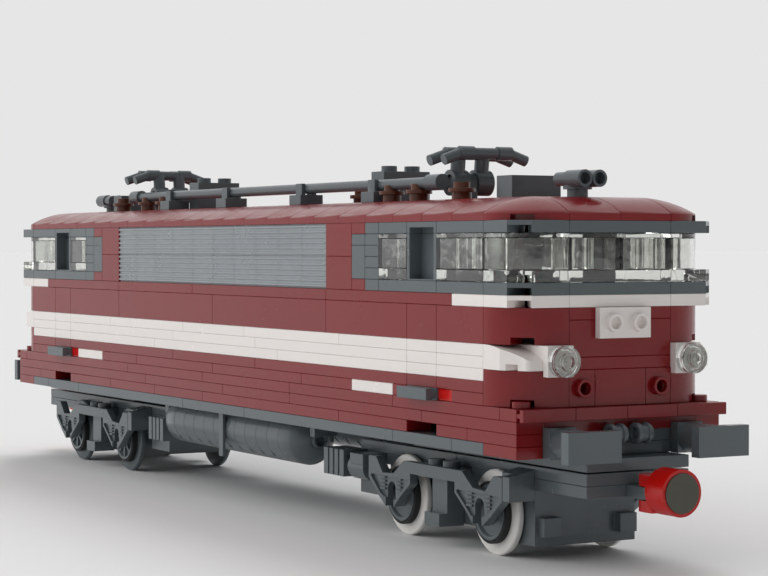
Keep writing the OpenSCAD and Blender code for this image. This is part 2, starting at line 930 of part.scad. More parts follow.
// An axle with a wheel pressed on each end, each with its flange inside
module wheelset(x) {
    translate([x, 0, axle_z]) union() {
        bar_y([0, 0, 0], 2 * wheel_out, axle_d);
        both_sides() {
            bar_y([0, wheel_in + flange_t / 2, 0], flange_t, flange_d);
            bar_y([0, wheel_in + flange_t + tread_w / 2, 0], tread_w, tread_d);
        }
    }
}

// Round head with a fork that turns on the tongue
module coupler() {
    head_gap = 0.6;
    head_l = 7.4;
    head_z = bogie_low + 2.5;
    arm_t = 2.9;
    head_x = coupler_x + tongue_r + head_gap;
    color("red") union() {
        on_nose(head_x, 0, head_z) cylinder(h = head_l, d = coupler_d, $fn = fine);
        for (z = [bogie_low - slack - arm_t, bogie_low + plate + slack]) {
            translate([coupler_x, 0, z]) cylinder(h = arm_t, r = tongue_r, $fn = fine);
            block([coupler_x, -tongue_r, z], [head_x + eps, tongue_r, z + arm_t]);
        }
        translate([coupler_x, 0, bogie_low - slack - eps])
            cylinder(h = plate + 2 * slack + 2 * eps, d = coupler_pin_d, $fn = fine);
    }
}

module magnet() {
    face_d = 10.2;
    face_t = 0.4;
    color("gray") on_nose(coupler_x + tongue_r + 8, 0, bogie_low + 2.5)
        cylinder(h = face_t, d = face_d, $fn = fine);
}

module bogie_plates_front() { bogie_plates(); }
module bogie_plates_rear() { rotate(180) bogie_plates(); }
module motor_front() { motor(); }
module motor_rear() { rotate(180) motor(); }
module pilot_front() { pilot(); }
module pilot_rear() { rotate(180) pilot(); }
module side_frames_front() { side_frames(); }
module side_frames_rear() { rotate(180) side_frames(); }
module bogie_boxes_front() { bogie_boxes(); }
module bogie_boxes_rear() { rotate(180) bogie_boxes(); }
module wheelset_1() { color("white") wheelset(outer_axle); }
module wheelset_2() { color("white") wheelset(inner_axle); }
module wheelset_3() { color("dimgray") rotate(180) wheelset(inner_axle); }
module wheelset_4() { color("dimgray") rotate(180) wheelset(outer_axle); }
module coupler_front() { coupler(); }
module coupler_rear() { rotate(180) coupler(); }
module magnet_front() { magnet(); }
module magnet_rear() { rotate(180) magnet(); }

floor_plates();
bogie_bearers();
sill_walls();
side_stripes();
side_walls();
nose_front();
nose_rear();
nose_belts();
window_sills();
window_heads();
cab_glass_front();
cab_glass_rear();
door_frames();
window_posts();
side_grilles();
roof_middle();
roof_ends();
grab_handles();
white_tiles();
red_tiles();
corner_slopes();
lamp_brackets();
lamp_lenses();
number_plates();
end_ledges();
buffers();
brake_hoses();
air_tanks();
tank_straps();
roof_boxes();
horns();
insulators();
roof_pipe();
pipe_clips();
roof_blocks();
pantograph_bases();
pantograph_front();
pantograph_rear();
bogie_plates_front();
motor_front();
pilot_front();
side_frames_front();
bogie_boxes_front();
wheelset_1();
wheelset_2();
coupler_front();
magnet_front();
bogie_plates_rear();
motor_rear();
pilot_rear();
side_frames_rear();
bogie_boxes_rear();
wheelset_3();
wheelset_4();
coupler_rear();
magnet_rear();
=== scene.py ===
# %% [markdown]
# # A brick-built toy electric locomotive
# The real object is a few hundred moulded plastic bricks pressed together. The CAD frame
# holds every part at its true size. This lesson gives it its looks: walls laid brick by
# brick, turned wheels, clear panes and the finish of each plastic.
# The first step loads the frame, which is never moved, and gives a way to read each part's box.

# %% Load the frame
import json
import math

import bmesh
import bpy
import numpy as np
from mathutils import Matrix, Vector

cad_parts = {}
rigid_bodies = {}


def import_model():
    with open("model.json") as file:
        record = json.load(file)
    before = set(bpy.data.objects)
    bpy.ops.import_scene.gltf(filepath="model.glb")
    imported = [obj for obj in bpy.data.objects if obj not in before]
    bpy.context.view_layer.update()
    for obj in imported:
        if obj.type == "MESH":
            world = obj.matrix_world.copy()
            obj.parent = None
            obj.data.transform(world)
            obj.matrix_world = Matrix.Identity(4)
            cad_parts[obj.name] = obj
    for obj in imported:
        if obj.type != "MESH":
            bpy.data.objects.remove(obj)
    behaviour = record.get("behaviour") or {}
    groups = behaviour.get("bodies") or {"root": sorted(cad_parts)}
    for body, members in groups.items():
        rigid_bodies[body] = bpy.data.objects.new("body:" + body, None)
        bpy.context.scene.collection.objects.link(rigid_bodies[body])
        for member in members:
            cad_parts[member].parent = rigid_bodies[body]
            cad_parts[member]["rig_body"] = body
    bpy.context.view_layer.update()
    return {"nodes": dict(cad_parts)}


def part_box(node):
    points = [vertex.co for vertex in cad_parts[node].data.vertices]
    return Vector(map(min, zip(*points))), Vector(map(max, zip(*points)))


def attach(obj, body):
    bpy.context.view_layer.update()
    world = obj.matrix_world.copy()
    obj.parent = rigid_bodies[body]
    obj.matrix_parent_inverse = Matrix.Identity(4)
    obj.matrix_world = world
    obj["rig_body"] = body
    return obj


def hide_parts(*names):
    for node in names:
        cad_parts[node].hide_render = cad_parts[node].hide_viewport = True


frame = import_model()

# %% [markdown]
# ## Sizes
# All bricks share one module: studs 8 mm apart and plates 3.2 mm high. Walls are laid in
# studs along the body and in rows of one plate, so sizes are kept in millimetres and only
# turned to metres when a mesh is made. The body's own sizes are read from the frame.

# %% Brick module and body sizes
MM = 0.001
STUD = 8.0
PLATE = 3.2
STUD_D = 4.8
STUD_H = 1.7
HOLLOW_D = 3.2
SEAM = 0.05      # gap that a seam leaves on each brick, for the joint to show as a dark line
EASE = 0.13      # cut on the edges of a moulded brick
SHARP_TURN = math.radians(30)    # turn from which an edge counts as sharp


def box_mm(node):
    """Lowest and highest corner of a CAD node, in millimetres."""
    return [np.array(corner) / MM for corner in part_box(node)]


HALF_L = round(box_mm("sill_walls")[1][0], 3)
HALF_W = round(box_mm("sill_walls")[1][1], 3)
UNDER = round(box_mm("floor_plates")[0][2], 3)
DECK = round(box_mm("roof_middle")[1][2], 3)
NOSE_R = 2 * STUD
NOSE_X = HALF_L - NOSE_R


def level(rows):
    """Height of a row counted in plates from the body's underside."""
    return UNDER + rows * PLATE


# Rows where the walls change, counted in plates from the underside
LEDGE_ROW, NOSE_ROW, SLOPE_ROW, WALL_ROW, BELT_ROW = 3, 4, 7, 9, 12
SILL_ROW, GLASS_ROW, PANE_ROW, HEAD_ROW, ROOF_ROW = 13, 14, 15, 18, 19
# Places along the side, counted in studs forward from the middle
POST_BACK, POST, WINDOW, DOOR_BACK, DOOR_FRONT, CORNER_STUD = 12, 13, 14, 16, 18, 21

print("body", 2 * HALF_L, "x", 2 * HALF_W, "mm, underside at", round(UNDER, 1))

# %% [markdown]
# ## Solids from arrays
# A moulded brick has edges that catch the light, so no solid here has sharp corners.
# They could be cubes with a Bevel modifier, but hundreds of modifiers are slow. Instead
# each solid is worked out as an array of rings joined by quads. One function carries an
# outline upward, one spins a profile, and both ease their edges by the same rule.

# %% Rings joined by quads
def ring_faces(rings, around, closed=False):
    """Quads between rings of points: corner i of ring k joins corner i+1 and ring k+1."""
    last = rings if closed else rings - 1
    k, i = np.meshgrid(np.arange(last), np.arange(around), indexing="ij")
    up, on = (k + 1) % rings, (i + 1) % around
    quads = np.stack([k * around + i, k * around + on, up * around + on, up * around + i], -1)
    return quads.reshape(-1, 4).tolist()


def eased(outline, cut):
    """Outline with its sharp corners cut: such a corner gives two points, each as far as
    the cut along one of its two edges. Corners that turn less than 30 degrees stay."""
    outline = np.array(outline, float)
    back = np.roll(outline, 1, 0) - outline
    ahead = np.roll(outline, -1, 0) - outline
    back /= np.linalg.norm(back, axis=1, keepdims=True)
    ahead /= np.linalg.norm(ahead, axis=1, keepdims=True)
    sharp = -(back * ahead).sum(1) < math.cos(SHARP_TURN)
    pairs = np.stack([outline + cut * back, outline + cut * ahead], 1)
    pairs[~sharp, 0] = outline[~sharp]
    keep = np.ones((len(outline), 2), bool)
    keep[~sharp, 1] = False
    return pairs[keep]


def inset(outline, depth):
    """Outline moved inward: a corner moves along the sum of its edges' inward normals,
    divided by one plus their dot product, so that every edge moves by the same depth."""
    edge = np.roll(outline, -1, 0) - outline
    edge /= np.linalg.norm(edge, axis=1, keepdims=True)
    normal = np.stack([-edge[:, 1], edge[:, 0]], 1)
    before = np.roll(normal, 1, 0)
    return outline + depth * (normal + before) / (1 + (normal * before).sum(1, keepdims=True))


def turned_to(points, axis):
    """Points whose third coordinate is turned to the named axis by a cyclic shift."""
    return np.roll(points, {"z": 0, "x": 1, "y": 2}[axis], axis=1)


def prism(outline, low, high, axis="z", ease=EASE):
    """Solid over an anticlockwise outline: four rings, at low, low + ease, high - ease and
    high, of which the first and last are inset by the ease, closed by two flat caps."""
    outline = eased(outline, ease)
    rings = [(low, ease), (low + ease, 0), (high - ease, 0), (high, ease)]
    points = np.concatenate([
        np.column_stack([inset(outline, depth), np.full(len(outline), height)])
        for height, depth in rings])
    n = len(outline)
    caps = [list(range(n))[::-1], list(range(3 * n, 4 * n))]
    return turned_to(points, axis), ring_faces(4, n) + caps


def spun(profile, axis="z", at=(0, 0, 0), steps=48, ease=EASE):
    """Solid of revolution: the point (r, h) at angle a lies at (r cos a, r sin a, h). The
    profile is an anticlockwise outline; one that touches the axis is closed by flat caps."""
    profile = eased(profile, ease)
    solid = (profile[:, 0] < 1e-6).any()
    r, h = profile[profile[:, 0] > 1e-6].T
    angle = np.arange(steps) * math.tau / steps
    points = np.stack([np.outer(r, np.cos(angle)), np.outer(r, np.sin(angle)),
                       np.outer(h, np.ones(steps))], -1).reshape(-1, 3)
    caps = [list(range(steps))[::-1], list(range((len(r) - 1) * steps, len(r) * steps))]
    faces = ring_faces(len(r), steps, closed=not solid) + (caps if solid else [])
    return turned_to(points, axis) + np.array(at), faces


def block(low, high, ease=EASE):
    """Box between two corners, as a prism over its rectangle."""
    (x0, y0, z0), (x1, y1, z1) = low, high
    return prism([(x0, y0), (x1, y0), (x1, y1), (x0, y1)], z0, z1, ease=ease)


def mirrored(solid, axis):
    """Solid reflected in the middle plane of an axis, its faces turned to point outward."""
    points, faces = solid
    flip = np.ones(3)
    flip[axis] = -1
    return points * flip, [face[::-1] for face in faces]


def half_turn(solid):
    """Solid turned by half a turn about the upright axis."""
    points, faces = solid
    return points * np.array([-1, -1, 1]), faces


def both_sides(solids):
    """The solids of the right side and the same after half a turn, for the left side."""
    return list(solids) + [half_turn(s) for s in solids]


def at_end(end, solids):
    """The solids of the front end, or the same after half a turn for the rear end."""
    return solids if end == "front" else [half_turn(s) for s in solids]


def four_corners(solids):
    """The solids of the near front corner and their copies at the other three corners."""
    front = list(solids) + [mirrored(s, 1) for s in solids]
    return front + [half_turn(s) for s in front]


print("a block has", len(block((0, 0, 0), (8, 8, 8))[0]), "points")

# %% [markdown]
# ## Materials: moulded ABS
# Most bricks are ABS, a hard glossy plastic moulded against polished steel. What the eye
# gets from it is a clear highlight over a full colour, a faint waviness where the wall
# cooled, and batches that differ a little from brick to brick. It is built from noise on
# Object coordinates, and from a number that each brick carries as an attribute.

# %% Colour and node helpers
def linear(hex_colour):
    """Linear colour of an sRGB hex value: c / 12.92 when dark, else ((c + 0.055) / 1.055)
    to the power 2.4."""
    srgb = np.array([int(hex_colour[i:i + 2], 16) for i in (1, 3, 5)]) / 255
    values = np.where(srgb <= 0.04045, srgb / 12.92, ((srgb + 0.055) / 1.055) ** 2.4)
    return (*values.tolist(), 1.0)


def add_node(tree, kind, settings=(), links=(), **values):
    """Adds a node: settings are its properties, values its inputs by name, and links join
    an output of another node to an input."""
    node = tree.nodes.new(kind)
    for name, value in dict(settings).items():
        setattr(node, name, value)
    for name, value in values.items():
        node.inputs[name.replace("_", " ")].default_value = value
    for name, output in dict(links).items():
        tree.links.new(output, node.inputs[name])
    return node


def join(tree, shader, **outputs):
    """Joins outputs of other nodes to the shader's inputs, by the inputs' names."""
    for name, output in outputs.items():
        tree.links.new(output, shader.inputs[name.replace("_", " ")])


def per_mm(size):
    """Noise scale whose features are that many millimetres wide, on metre coordinates."""
    return 1 / (size * MM)


def new_material(name):
    """An empty material with its output, its shader and the object's coordinates."""
    material = bpy.data.materials.new(name)
    material.use_nodes = True
    tree = material.node_tree
    tree.nodes.clear()
    shader = add_node(tree, "ShaderNodeBsdfPrincipled")
    add_node(tree, "ShaderNodeOutputMaterial", links={"Surface": shader.outputs["BSDF"]})
    place = add_node(tree, "ShaderNodeTexCoord").outputs["Object"]
    return material, tree, shader, place


print("dark red in linear light:", [round(c, 3) for c in linear("#801519")[:3]])


# %% Moulded ABS
def moulded_abs(name, colour, gloss=0.2, batch=0.05, wave=0.035):
    """ABS moulded in polished steel. Its colour is scaled by the brick's batch number and
    by a broad cloud, its roughness drifts where hands have touched it, and its bump is
    a slow wave, 5 mm long, with a fine grain of 0.3 mm, drawn coarser than the real one."""
    material, tree, shader, place = new_material(name)
    shader.inputs["IOR"].default_value = 1.54
    shader.inputs["Specular IOR Level"].default_value = 0.36
    cloud = add_node(tree, "ShaderNodeTexNoise", links={"Vector": place},
                     Scale=per_mm(26), Detail=3.0).outputs["Fac"]
    brick = add_node(tree, "ShaderNodeAttribute",
                     settings={"attribute_name": "batch"}).outputs["Fac"]
    shade = add_node(tree, "ShaderNodeMath", settings={"operation": "ADD"},
                     links={0: cloud, 1: brick}).outputs[0]
    value = add_node(tree, "ShaderNodeMapRange", links={"Value": shade},
                     From_Min=0.0, From_Max=2.0, To_Min=1 - batch, To_Max=1 + batch)
    tint = add_node(tree, "ShaderNodeHueSaturation",
                    links={"Value": value.outputs["Result"]}, Color=linear(colour))
    touched = add_node(tree, "ShaderNodeTexNoise", links={"Vector": place},
                       Scale=per_mm(9), Detail=4.0).outputs["Fac"]
    rough = add_node(tree, "ShaderNodeMapRange", links={"Value": touched},
                     From_Min=0.3, From_Max=0.75, To_Min=gloss - 0.04, To_Max=gloss + 0.1)
    slow = add_node(tree, "ShaderNodeTexNoise", links={"Vector": place},
                    Scale=per_mm(5), Detail=1.0).outputs["Fac"]
    grain = add_node(tree, "ShaderNodeTexNoise", links={"Vector": place},
                     Scale=per_mm(0.3), Detail=2.0).outputs["Fac"]
    fine = add_node(tree, "ShaderNodeBump", links={"Height": grain},
                    Strength=0.05, Distance=0.02 * MM)
    broad = add_node(tree, "ShaderNodeBump",
                     links={"Height": slow, "Normal": fine.outputs["Normal"]},
                     Strength=1.0, Distance=wave * MM)
    join(tree, shader, Base_Color=tint.outputs["Color"], Roughness=rough.outputs["Result"],
         Normal=broad.outputs["Normal"])
    return material


ABS = {
    "dark_red": moulded_abs("abs_dark_red", "#801519"),
    "white": moulded_abs("abs_white", "#efe9e5", batch=0.02),
    "dark_grey": moulded_abs("abs_dark_bluish_grey", "#5b6367"),
    "light_grey": moulded_abs("abs_light_bluish_grey", "#959b9f"),
    "bright_red": moulded_abs("abs_bright_red", "#c5120c"),
    "brown": moulded_abs("abs_reddish_brown", "#5c2f1a"),
    "wheel_white": moulded_abs("abs_wheel_white", "#e4e2de", batch=0.02),
}
print("moulded finishes:", sorted(ABS))

# %% [markdown]
# ## Materials: clear plastic, rubber and the magnet's steel
# Clear bricks are polycarbonate: light passes, bends a little and leaves the rims
# bright. The tyres are moulded rubber, dull and nearly black. The coupler's magnet is
# nickel-plated steel whose turned face shows faint rings.

# %% Clear polycarbonate, rubber and plated steel
def clear_plastic(name, colour):
    """Polycarbonate: full transmission, IOR 1.58, and a slow moulding wave in its bump."""
    material, tree, shader, place = new_material(name)
    shader.inputs["Base Color"].default_value = linear(colour)
    shader.inputs["IOR"].default_value = 1.58
    shader.inputs["Transmission Weight"].default_value = 1.0
    flow = add_node(tree, "ShaderNodeTexNoise", links={"Vector": place},
                    Scale=per_mm(7), Detail=2.0).outputs["Fac"]
    rough = add_node(tree, "ShaderNodeMapRange", links={"Value": flow},
                     From_Min=0.3, From_Max=0.7, To_Min=0.01, To_Max=0.05)
    bump = add_node(tree, "ShaderNodeBump", links={"Height": flow},
                    Strength=1.0, Distance=0.05 * MM)
    join(tree, shader, Roughness=rough.outputs["Result"], Normal=bump.outputs["Normal"])
    return material


def moulded_rubber(name, colour):
    """Synthetic rubber: dark, rough, with a grain of 0.4 mm left by the mould."""
    material, tree, shader, place = new_material(name)
    shader.inputs["IOR"].default_value = 1.52
    grain = add_node(tree, "ShaderNodeTexNoise", links={"Vector": place},
                     Scale=per_mm(0.4), Detail=3.0).outputs["Fac"]
    dust = add_node(tree, "ShaderNodeMapRange", links={"Value": grain},
                    From_Min=0.3, From_Max=0.7, To_Min=0.85, To_Max=1.2)
    tint = add_node(tree, "ShaderNodeHueSaturation",
                    links={"Value": dust.outputs["Result"]}, Color=linear(colour))
    rough = add_node(tree, "ShaderNodeMapRange", links={"Value": grain},
                     From_Min=0.3, From_Max=0.7, To_Min=0.55, To_Max=0.75)
    bump = add_node(tree, "ShaderNodeBump", links={"Height": grain},
                    Strength=0.4, Distance=0.05 * MM)
    join(tree, shader, Base_Color=tint.outputs["Color"], Roughness=rough.outputs["Result"],
         Normal=bump.outputs["Normal"])
    return material


def plated_steel(name, colour, axis_z):
    """Nickel-plated steel turned on a lathe: rings 0.5 mm apart about the magnet's axis,
    which runs along X at a given height, from a wave on the distance to that axis."""
    material, tree, shader, place = new_material(name)
    shader.inputs["Metallic"].default_value = 1.0
    centred = add_node(tree, "ShaderNodeMapping", links={"Vector": place},
                       Location=(0.0, 0.0, -axis_z * MM))
    rings = add_node(tree, "ShaderNodeTexWave",
                     settings={"wave_type": "RINGS", "rings_direction": "X"},
                     links={"Vector": centred.outputs["Vector"]},
                     Scale=per_mm(0.5) / 20, Distortion=0.4).outputs["Fac"]
    smudge = add_node(tree, "ShaderNodeTexNoise", links={"Vector": place},
                      Scale=per_mm(3), Detail=4.0).outputs["Fac"]
    tone = add_node(tree, "ShaderNodeMapRange", links={"Value": smudge},
                    From_Min=0.3, From_Max=0.7, To_Min=0.9, To_Max=1.08)
    tint = add_node(tree, "ShaderNodeHueSaturation",
                    links={"Value": tone.outputs["Result"]}, Color=linear(colour))
    rough = add_node(tree, "ShaderNodeMapRange", links={"Value": smudge},
                     From_Min=0.3, From_Max=0.7, To_Min=0.38, To_Max=0.52)
    bump = add_node(tree, "ShaderNodeBump", links={"Height": rings},
                    Strength=0.3, Distance=0.02 * MM)
    join(tree, shader, Base_Color=tint.outputs["Color"], Roughness=rough.outputs["Result"],
         Normal=bump.outputs["Normal"])
    return material


magnet_low, magnet_high = box_mm("magnet_front")
CLEAR = clear_plastic("polycarbonate_clear", "#f4f5f2")
RUBBER = moulded_rubber("rubber_tyre", "#17181a")
STEEL = plated_steel("steel_magnet", "#5d5d55", (magnet_low[2] + magnet_high[2]) / 2)
print("other finishes:", CLEAR.name, RUBBER.name, STEEL.name)

# %% [markdown]
# ## From solids to a piece
# Bricks of one colour that never move against each other are joined into one piece. Each
# brick keeps a batch number between 0 and 1 on its points, which the plastic reads. The
# piece rides on its CAD body, stands for its CAD nodes and names its material slot.

# %% Joining solids into a piece
random = np.random.default_rng(7)
FINISHES = {**ABS, "clear": CLEAR, "rubber": RUBBER, "magnet": STEEL}


def set_piece(piece, body, nodes):
    """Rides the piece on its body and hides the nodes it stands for."""
    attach(piece, body)
    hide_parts(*nodes)
    return piece


def shade_by_angle(mesh):
    """Smooth shading with sharp edges where two faces turn more than 30 degrees."""
    mesh.shade_smooth()
    mesh.set_sharp_from_angle(angle=SHARP_TURN)


def make_piece(name, parts, body, nodes):
    """Joins solids into one mesh in metres. parts lists (finish, solids); every solid's
    points carry its own random batch number."""
    mesh = bpy.data.meshes.new(name)
    points, faces, batches, finishes, start = [], [], [], [], 0
    for index, (finish, solids) in enumerate(parts):
        mesh.materials.append(FINISHES[finish])
        for solid_points, solid_faces in solids:
            points.append(solid_points)
            faces += [[corner + start for corner in face] for face in solid_faces]
            batches.append(np.full(len(solid_points), random.random()))
            finishes += [index] * len(solid_faces)
            start += len(solid_points)
    mesh.from_pydata(np.concatenate(points) * MM, [], faces)
    mesh.polygons.foreach_set("material_index", finishes)
    mesh.attributes.new("batch", "FLOAT", "POINT").data.foreach_set(
        "value", np.concatenate(batches).astype(np.float32))
    mesh.validate()
    shade_by_angle(mesh)
    piece = bpy.data.objects.new(name, mesh)
    bpy.context.scene.collection.objects.link(piece)
    print(name, "has", len(faces), "faces")
    return set_piece(piece, body, nodes)


# %% [markdown]
# ## The side walls
# The sides are courses of bricks and plates whose joints are staggered, as a bricklayer
# does it. One table lists each course: its lowest and highest row, and where its bricks
# meet, in studs from the middle of the body. The left side is the right side after half
# a turn, so a second table isn't needed.

# %% Laying courses along a side
def side_span(stud_a, stud_b, row_a, row_b, back=0.0):
    """Corners of a brick of the right wall, between two places along it and two rows. back
    sets its outer face that far behind the wall's face."""
    return ((stud_a * STUD + SEAM, back - HALF_W, level(row_a) + SEAM / 2),
            (stud_b * STUD - SEAM, STUD - HALF_W, level(row_b) - SEAM / 2))


def side_brick(*span):
    """Brick of the right wall, as a block over its span."""
    return block(*side_span(*span))


def course(row_a, row_b, *joints):
    """Bricks laid end to end between the joints. None between two joints is a gap."""
    pairs = zip(joints[:-1], joints[1:])
    return [side_brick(a, b, row_a, row_b) for a, b in pairs if None not in (a, b)]


red_sill = (
    course(0, 1, -23, -21, None, 21, 23)
    + course(1, 2, -23, -20, -18, None, -16, -11, -6, -1, 11, 16, None, 18, 20, 23)
    + course(2, 3, -23, -7, 1, 7, 17, 23)
    + course(3, 4, -23, -22, -9, -1, 7, 15, 22, 23)
    + course(4, 5, -21, -18, None, -12, -8, 0, 8, 12, None, 15, 16, None, 19, 21)
    + course(5, 6, -21, -18, -16, -4, 4, 16, 18, 21))
red_walls = (
    course(9, 12, -21, -18, -16, -10, 0, 10, 16, 18, 21)
    + course(12, 13, -19, -10, -2, 10, 19)
    + course(13, 16, -12, -10, None, 10, 12) + course(16, 19, -12, -10, None, 10, 12)
    + course(13, 14, -13, -12, None, 12, 13) + course(18, 19, -13, -12, None, 12, 13))
white_stripe = (
    course(6, 7, -21, -18, -16, -6, 6, 16, 18, 21)
    + course(7, 8, -21, -18, -16, -4, 4, 16, 18, 21)
    + course(8, 9, -21, -18, -16, -11, -3, 3, 11, 16, 18, 21))
white_trim = course(4, 5, -15, -12) + course(4, 5, 12, 15)
print("bricks on one side:", len(red_sill) + len(red_walls) + len(white_stripe))

# %% [markdown]
# ## The ends of the body
# Each end has a front wall between two quarter-round corner bricks, and plates with cut
# corners above it. A corner follows a path, so it is one section carried along that path
# as a grid: station by section point. Every corner has a notch under it, which clears
# the stud below, so the section's lowest height rises where the notch is.

# %% A wall carried along a path
def wall_strip(outer, inner, low, high, ease=EASE):
    """Wall along a path. Station i has an outer point, an inner point and a lowest height.
    Its section is the rectangle between them with cut corners, eight points that run down
    the outside and up the inside. The end stations are inset, so that the ends are eased."""
    outer, inner, low = (np.array(a, float) for a in (outer, inner, low))

    def with_ends(path):
        """Path with a station added at the ease's distance from each end."""
        step = [path[1] - path[0], path[-2] - path[-1]]
        first, last = (path[i] + ease * s / np.linalg.norm(s) for i, s in zip((0, -1), step))
        return np.concatenate([path[:1], [first], path[1:-1], [last], path[-1:]])

    outer, inner = with_ends(outer), with_ends(inner)
    low = np.concatenate([low[:1], low, low[-1:]])
    n = len(outer)
    depth = np.zeros(n)
    depth[[0, -1]] = ease
    across = (inner - outer) / np.linalg.norm(inner - outer, axis=1, keepdims=True)
    outer, inner = outer + depth[:, None] * across, inner - depth[:, None] * across
    low, top = low + depth, high - depth
    corners = [(outer, 0, top - ease), (outer, 0, low + ease), (outer, ease, low),
               (inner, -ease, low), (inner, 0, low + ease), (inner, 0, top - ease),
               (inner, -ease, top), (outer, ease, top)]
    points = np.stack([np.column_stack([side + shift * across, height])
                       for side, shift, height in corners], 1).reshape(-1, 3)
    caps = [list(range(8))[::-1], list(range(8 * (n - 1), 8 * n))]
    return points, ring_faces(n, 8) + caps


NOTCH_H = 1.9
NOTCH_W = 6.4
NOTCH_TURN = math.degrees(math.asin(NOTCH_W / 2 / NOSE_R))
CORNER = np.array([HALF_L - NOSE_R, NOSE_R - HALF_W])


def round_corner(row_a, row_b, thick=STUD, notched=True):
    """Quarter-round brick at the near front corner: its path is an arc of the nose radius,
    and the notch takes the stations whose distance from the diagonal is under half its
    width."""
    half, step = NOTCH_TURN, 0.3
    angle = np.concatenate([np.linspace(-90, -45 - half, 9),
                            np.linspace(-45 - half + step, -45 + half - step, 5),
                            np.linspace(-45 + half, 0, 9)])
    way = np.column_stack([np.cos(np.radians(angle)), np.sin(np.radians(angle))])
    inside = (np.abs(angle + 45) < half - step / 2) & notched
    low = level(row_a) + SEAM / 2 + inside * NOTCH_H
    return wall_strip(CORNER + NOSE_R * way, CORNER + (NOSE_R - thick) * way, low,
                      level(row_b) - SEAM / 2)


CUT = 4.6


def cut_corner(row):
    """Plate with a cut corner at the near front corner, notched along the cut. Its inside
    corner is a small curve, so that no two stations meet there."""
    side, front = -HALF_W, HALF_L
    step, far, near, off = 0.1, 0.6, 0.4, 0.05
    outer = [(front - NOSE_R, side), (front - CUT, side), (front - CUT + step, side + step),
             (front - step, side + CUT - step), (front, side + CUT), (front, side + NOSE_R)]
    inner = [(front - NOSE_R, side + STUD), (front - STUD - far, side + STUD),
             (front - STUD - near, side + STUD + off), (front - STUD - off, side + STUD + near),
             (front - STUD, side + STUD + far), (front - STUD, side + NOSE_R)]
    low = level(row) + SEAM / 2 + np.array([0, 0, NOTCH_H, NOTCH_H, 0, 0])
    return wall_strip(outer, inner, low, level(row + 1) - SEAM / 2)


def front_span(stud_a, stud_b, row_a, row_b, thick=STUD, back=0.0):
    """Corners of a brick of the front wall, between two places across it and two rows."""
    return ((HALF_L - thick, stud_a * STUD + SEAM, level(row_a) + SEAM / 2),
            (HALF_L - back, stud_b * STUD - SEAM, level(row_b) - SEAM / 2))


def front_brick(*span):
    """Brick of the front wall, as a block over its span."""
    return block(*front_span(*span))


print("a corner brick has", len(round_corner(NOSE_ROW, SLOPE_ROW)[0]), "points")

# %% [markdown]
# ## Studs and bored bricks
# A stud is a short drum; a hollow one is a ring. On the nose two bricks carry hollow
# studs on their side with the hole going on into the brick, which is why it looks black.
# A bored brick is the same idea as a spun profile, but its outer radius follows the
# rectangle instead of a circle.

# %% Studs and a brick with a round hole
def stud(x, y, z, axis="z"):
    """Full stud: a drum spun about its axis."""
    return spun([(0, 0), (STUD_D / 2, 0), (STUD_D / 2, STUD_H), (0, STUD_H)], axis, (x, y, z))


def hollow_stud(x, y, z, axis="z"):
    """Hollow stud: a ring between the stud's radius and the hole's."""
    r, hole = STUD_D / 2, HOLLOW_D / 2
    return spun([(hole, 0), (r, 0), (r, STUD_H), (hole, STUD_H)], axis, (x, y, z))


def bored_brick(half_a, half_b, back, front, at, axis="x", ease=EASE):
    """Brick with a round hole through it. At angle a the outside is at the smaller of
    half_a / |cos a| and half_b / |sin a|, and the hole at its own radius; eight rings
    run up the outside and down the hole."""
    corner = math.atan2(half_b, half_a)
    angle = np.sort(np.concatenate([
        (np.arange(48) + 0.5) * math.tau / 48,
        [corner, math.pi - corner, math.pi + corner, math.tau - corner]]))
    c, s = np.cos(angle), np.sin(angle)

    def outside(cut):
        """Distance to the rectangle that is smaller by the cut on every side."""
        return np.minimum((half_a - cut) / np.abs(c), (half_b - cut) / np.abs(s))

    hole = np.full(len(angle), HOLLOW_D / 2)
    rings = [(outside(ease), back), (outside(0), back + ease), (outside(0), front - ease),
             (outside(ease), front), (hole + ease, front), (hole, front - ease),
             (hole, back + ease), (hole + ease, back)]
    points = np.concatenate([np.column_stack([r * c, r * s, np.full(len(r), h)])
                             for r, h in rings])
    return turned_to(points, axis) + np.array(at), ring_faces(8, len(angle), closed=True)


def nose_studded(y, row_a, row_b):
    """Brick of the front wall, one stud wide, with a hollow stud on its face."""
    middle = level((row_a + row_b) / 2)
    half = STUD / 2 - SEAM
    return [bored_brick(half, (row_b - row_a) * PLATE / 2 - SEAM / 2, -STUD, 0,
                        (HALF_L, y, middle)),
            hollow_stud(HALF_L, y, middle, "x")]


print("a bored brick has", len(nose_studded(0, NOSE_ROW, SLOPE_ROW)[0][0]), "points")

# %% [markdown]
# ## The fluted grille
# Each side has forty bricks whose face is moulded with six round flutes, like louvres.
# A displacement could fake them, but the flutes show at the ends of the grille, so they
# belong in the outline: it is drawn once and carried along the brick.

# %% Grille bricks
FLUTES = 6
FLUTE_R = 0.56
FLUTE_EASE = 0.08
QUARTER = 4      # steps of a flute's quarter-circle


def grille_outline(low, high):
    """Section of a grille brick in (y, z): a rectangle whose outer side is cut by
    half-circles about points one flute apart, with a quarter-circle at each end."""
    gap = (high - low) / FLUTES
    sweep = np.radians(np.linspace(90, -90, 2 * QUARTER + 1))
    arc = np.column_stack([np.cos(sweep), np.sin(sweep)]) * FLUTE_R - [HALF_W, 0]
    flutes = [arc[QUARTER:] + [0, high]]
    flutes += [arc + [0, high - i * gap] for i in range(1, FLUTES)]
    flutes += [arc[:QUARTER + 1] + [0, low]]
    inside = [(FLUTE_R - HALF_W, low), (STUD - HALF_W, low), (STUD - HALF_W, high)]
    return np.concatenate([inside[1:], *flutes])


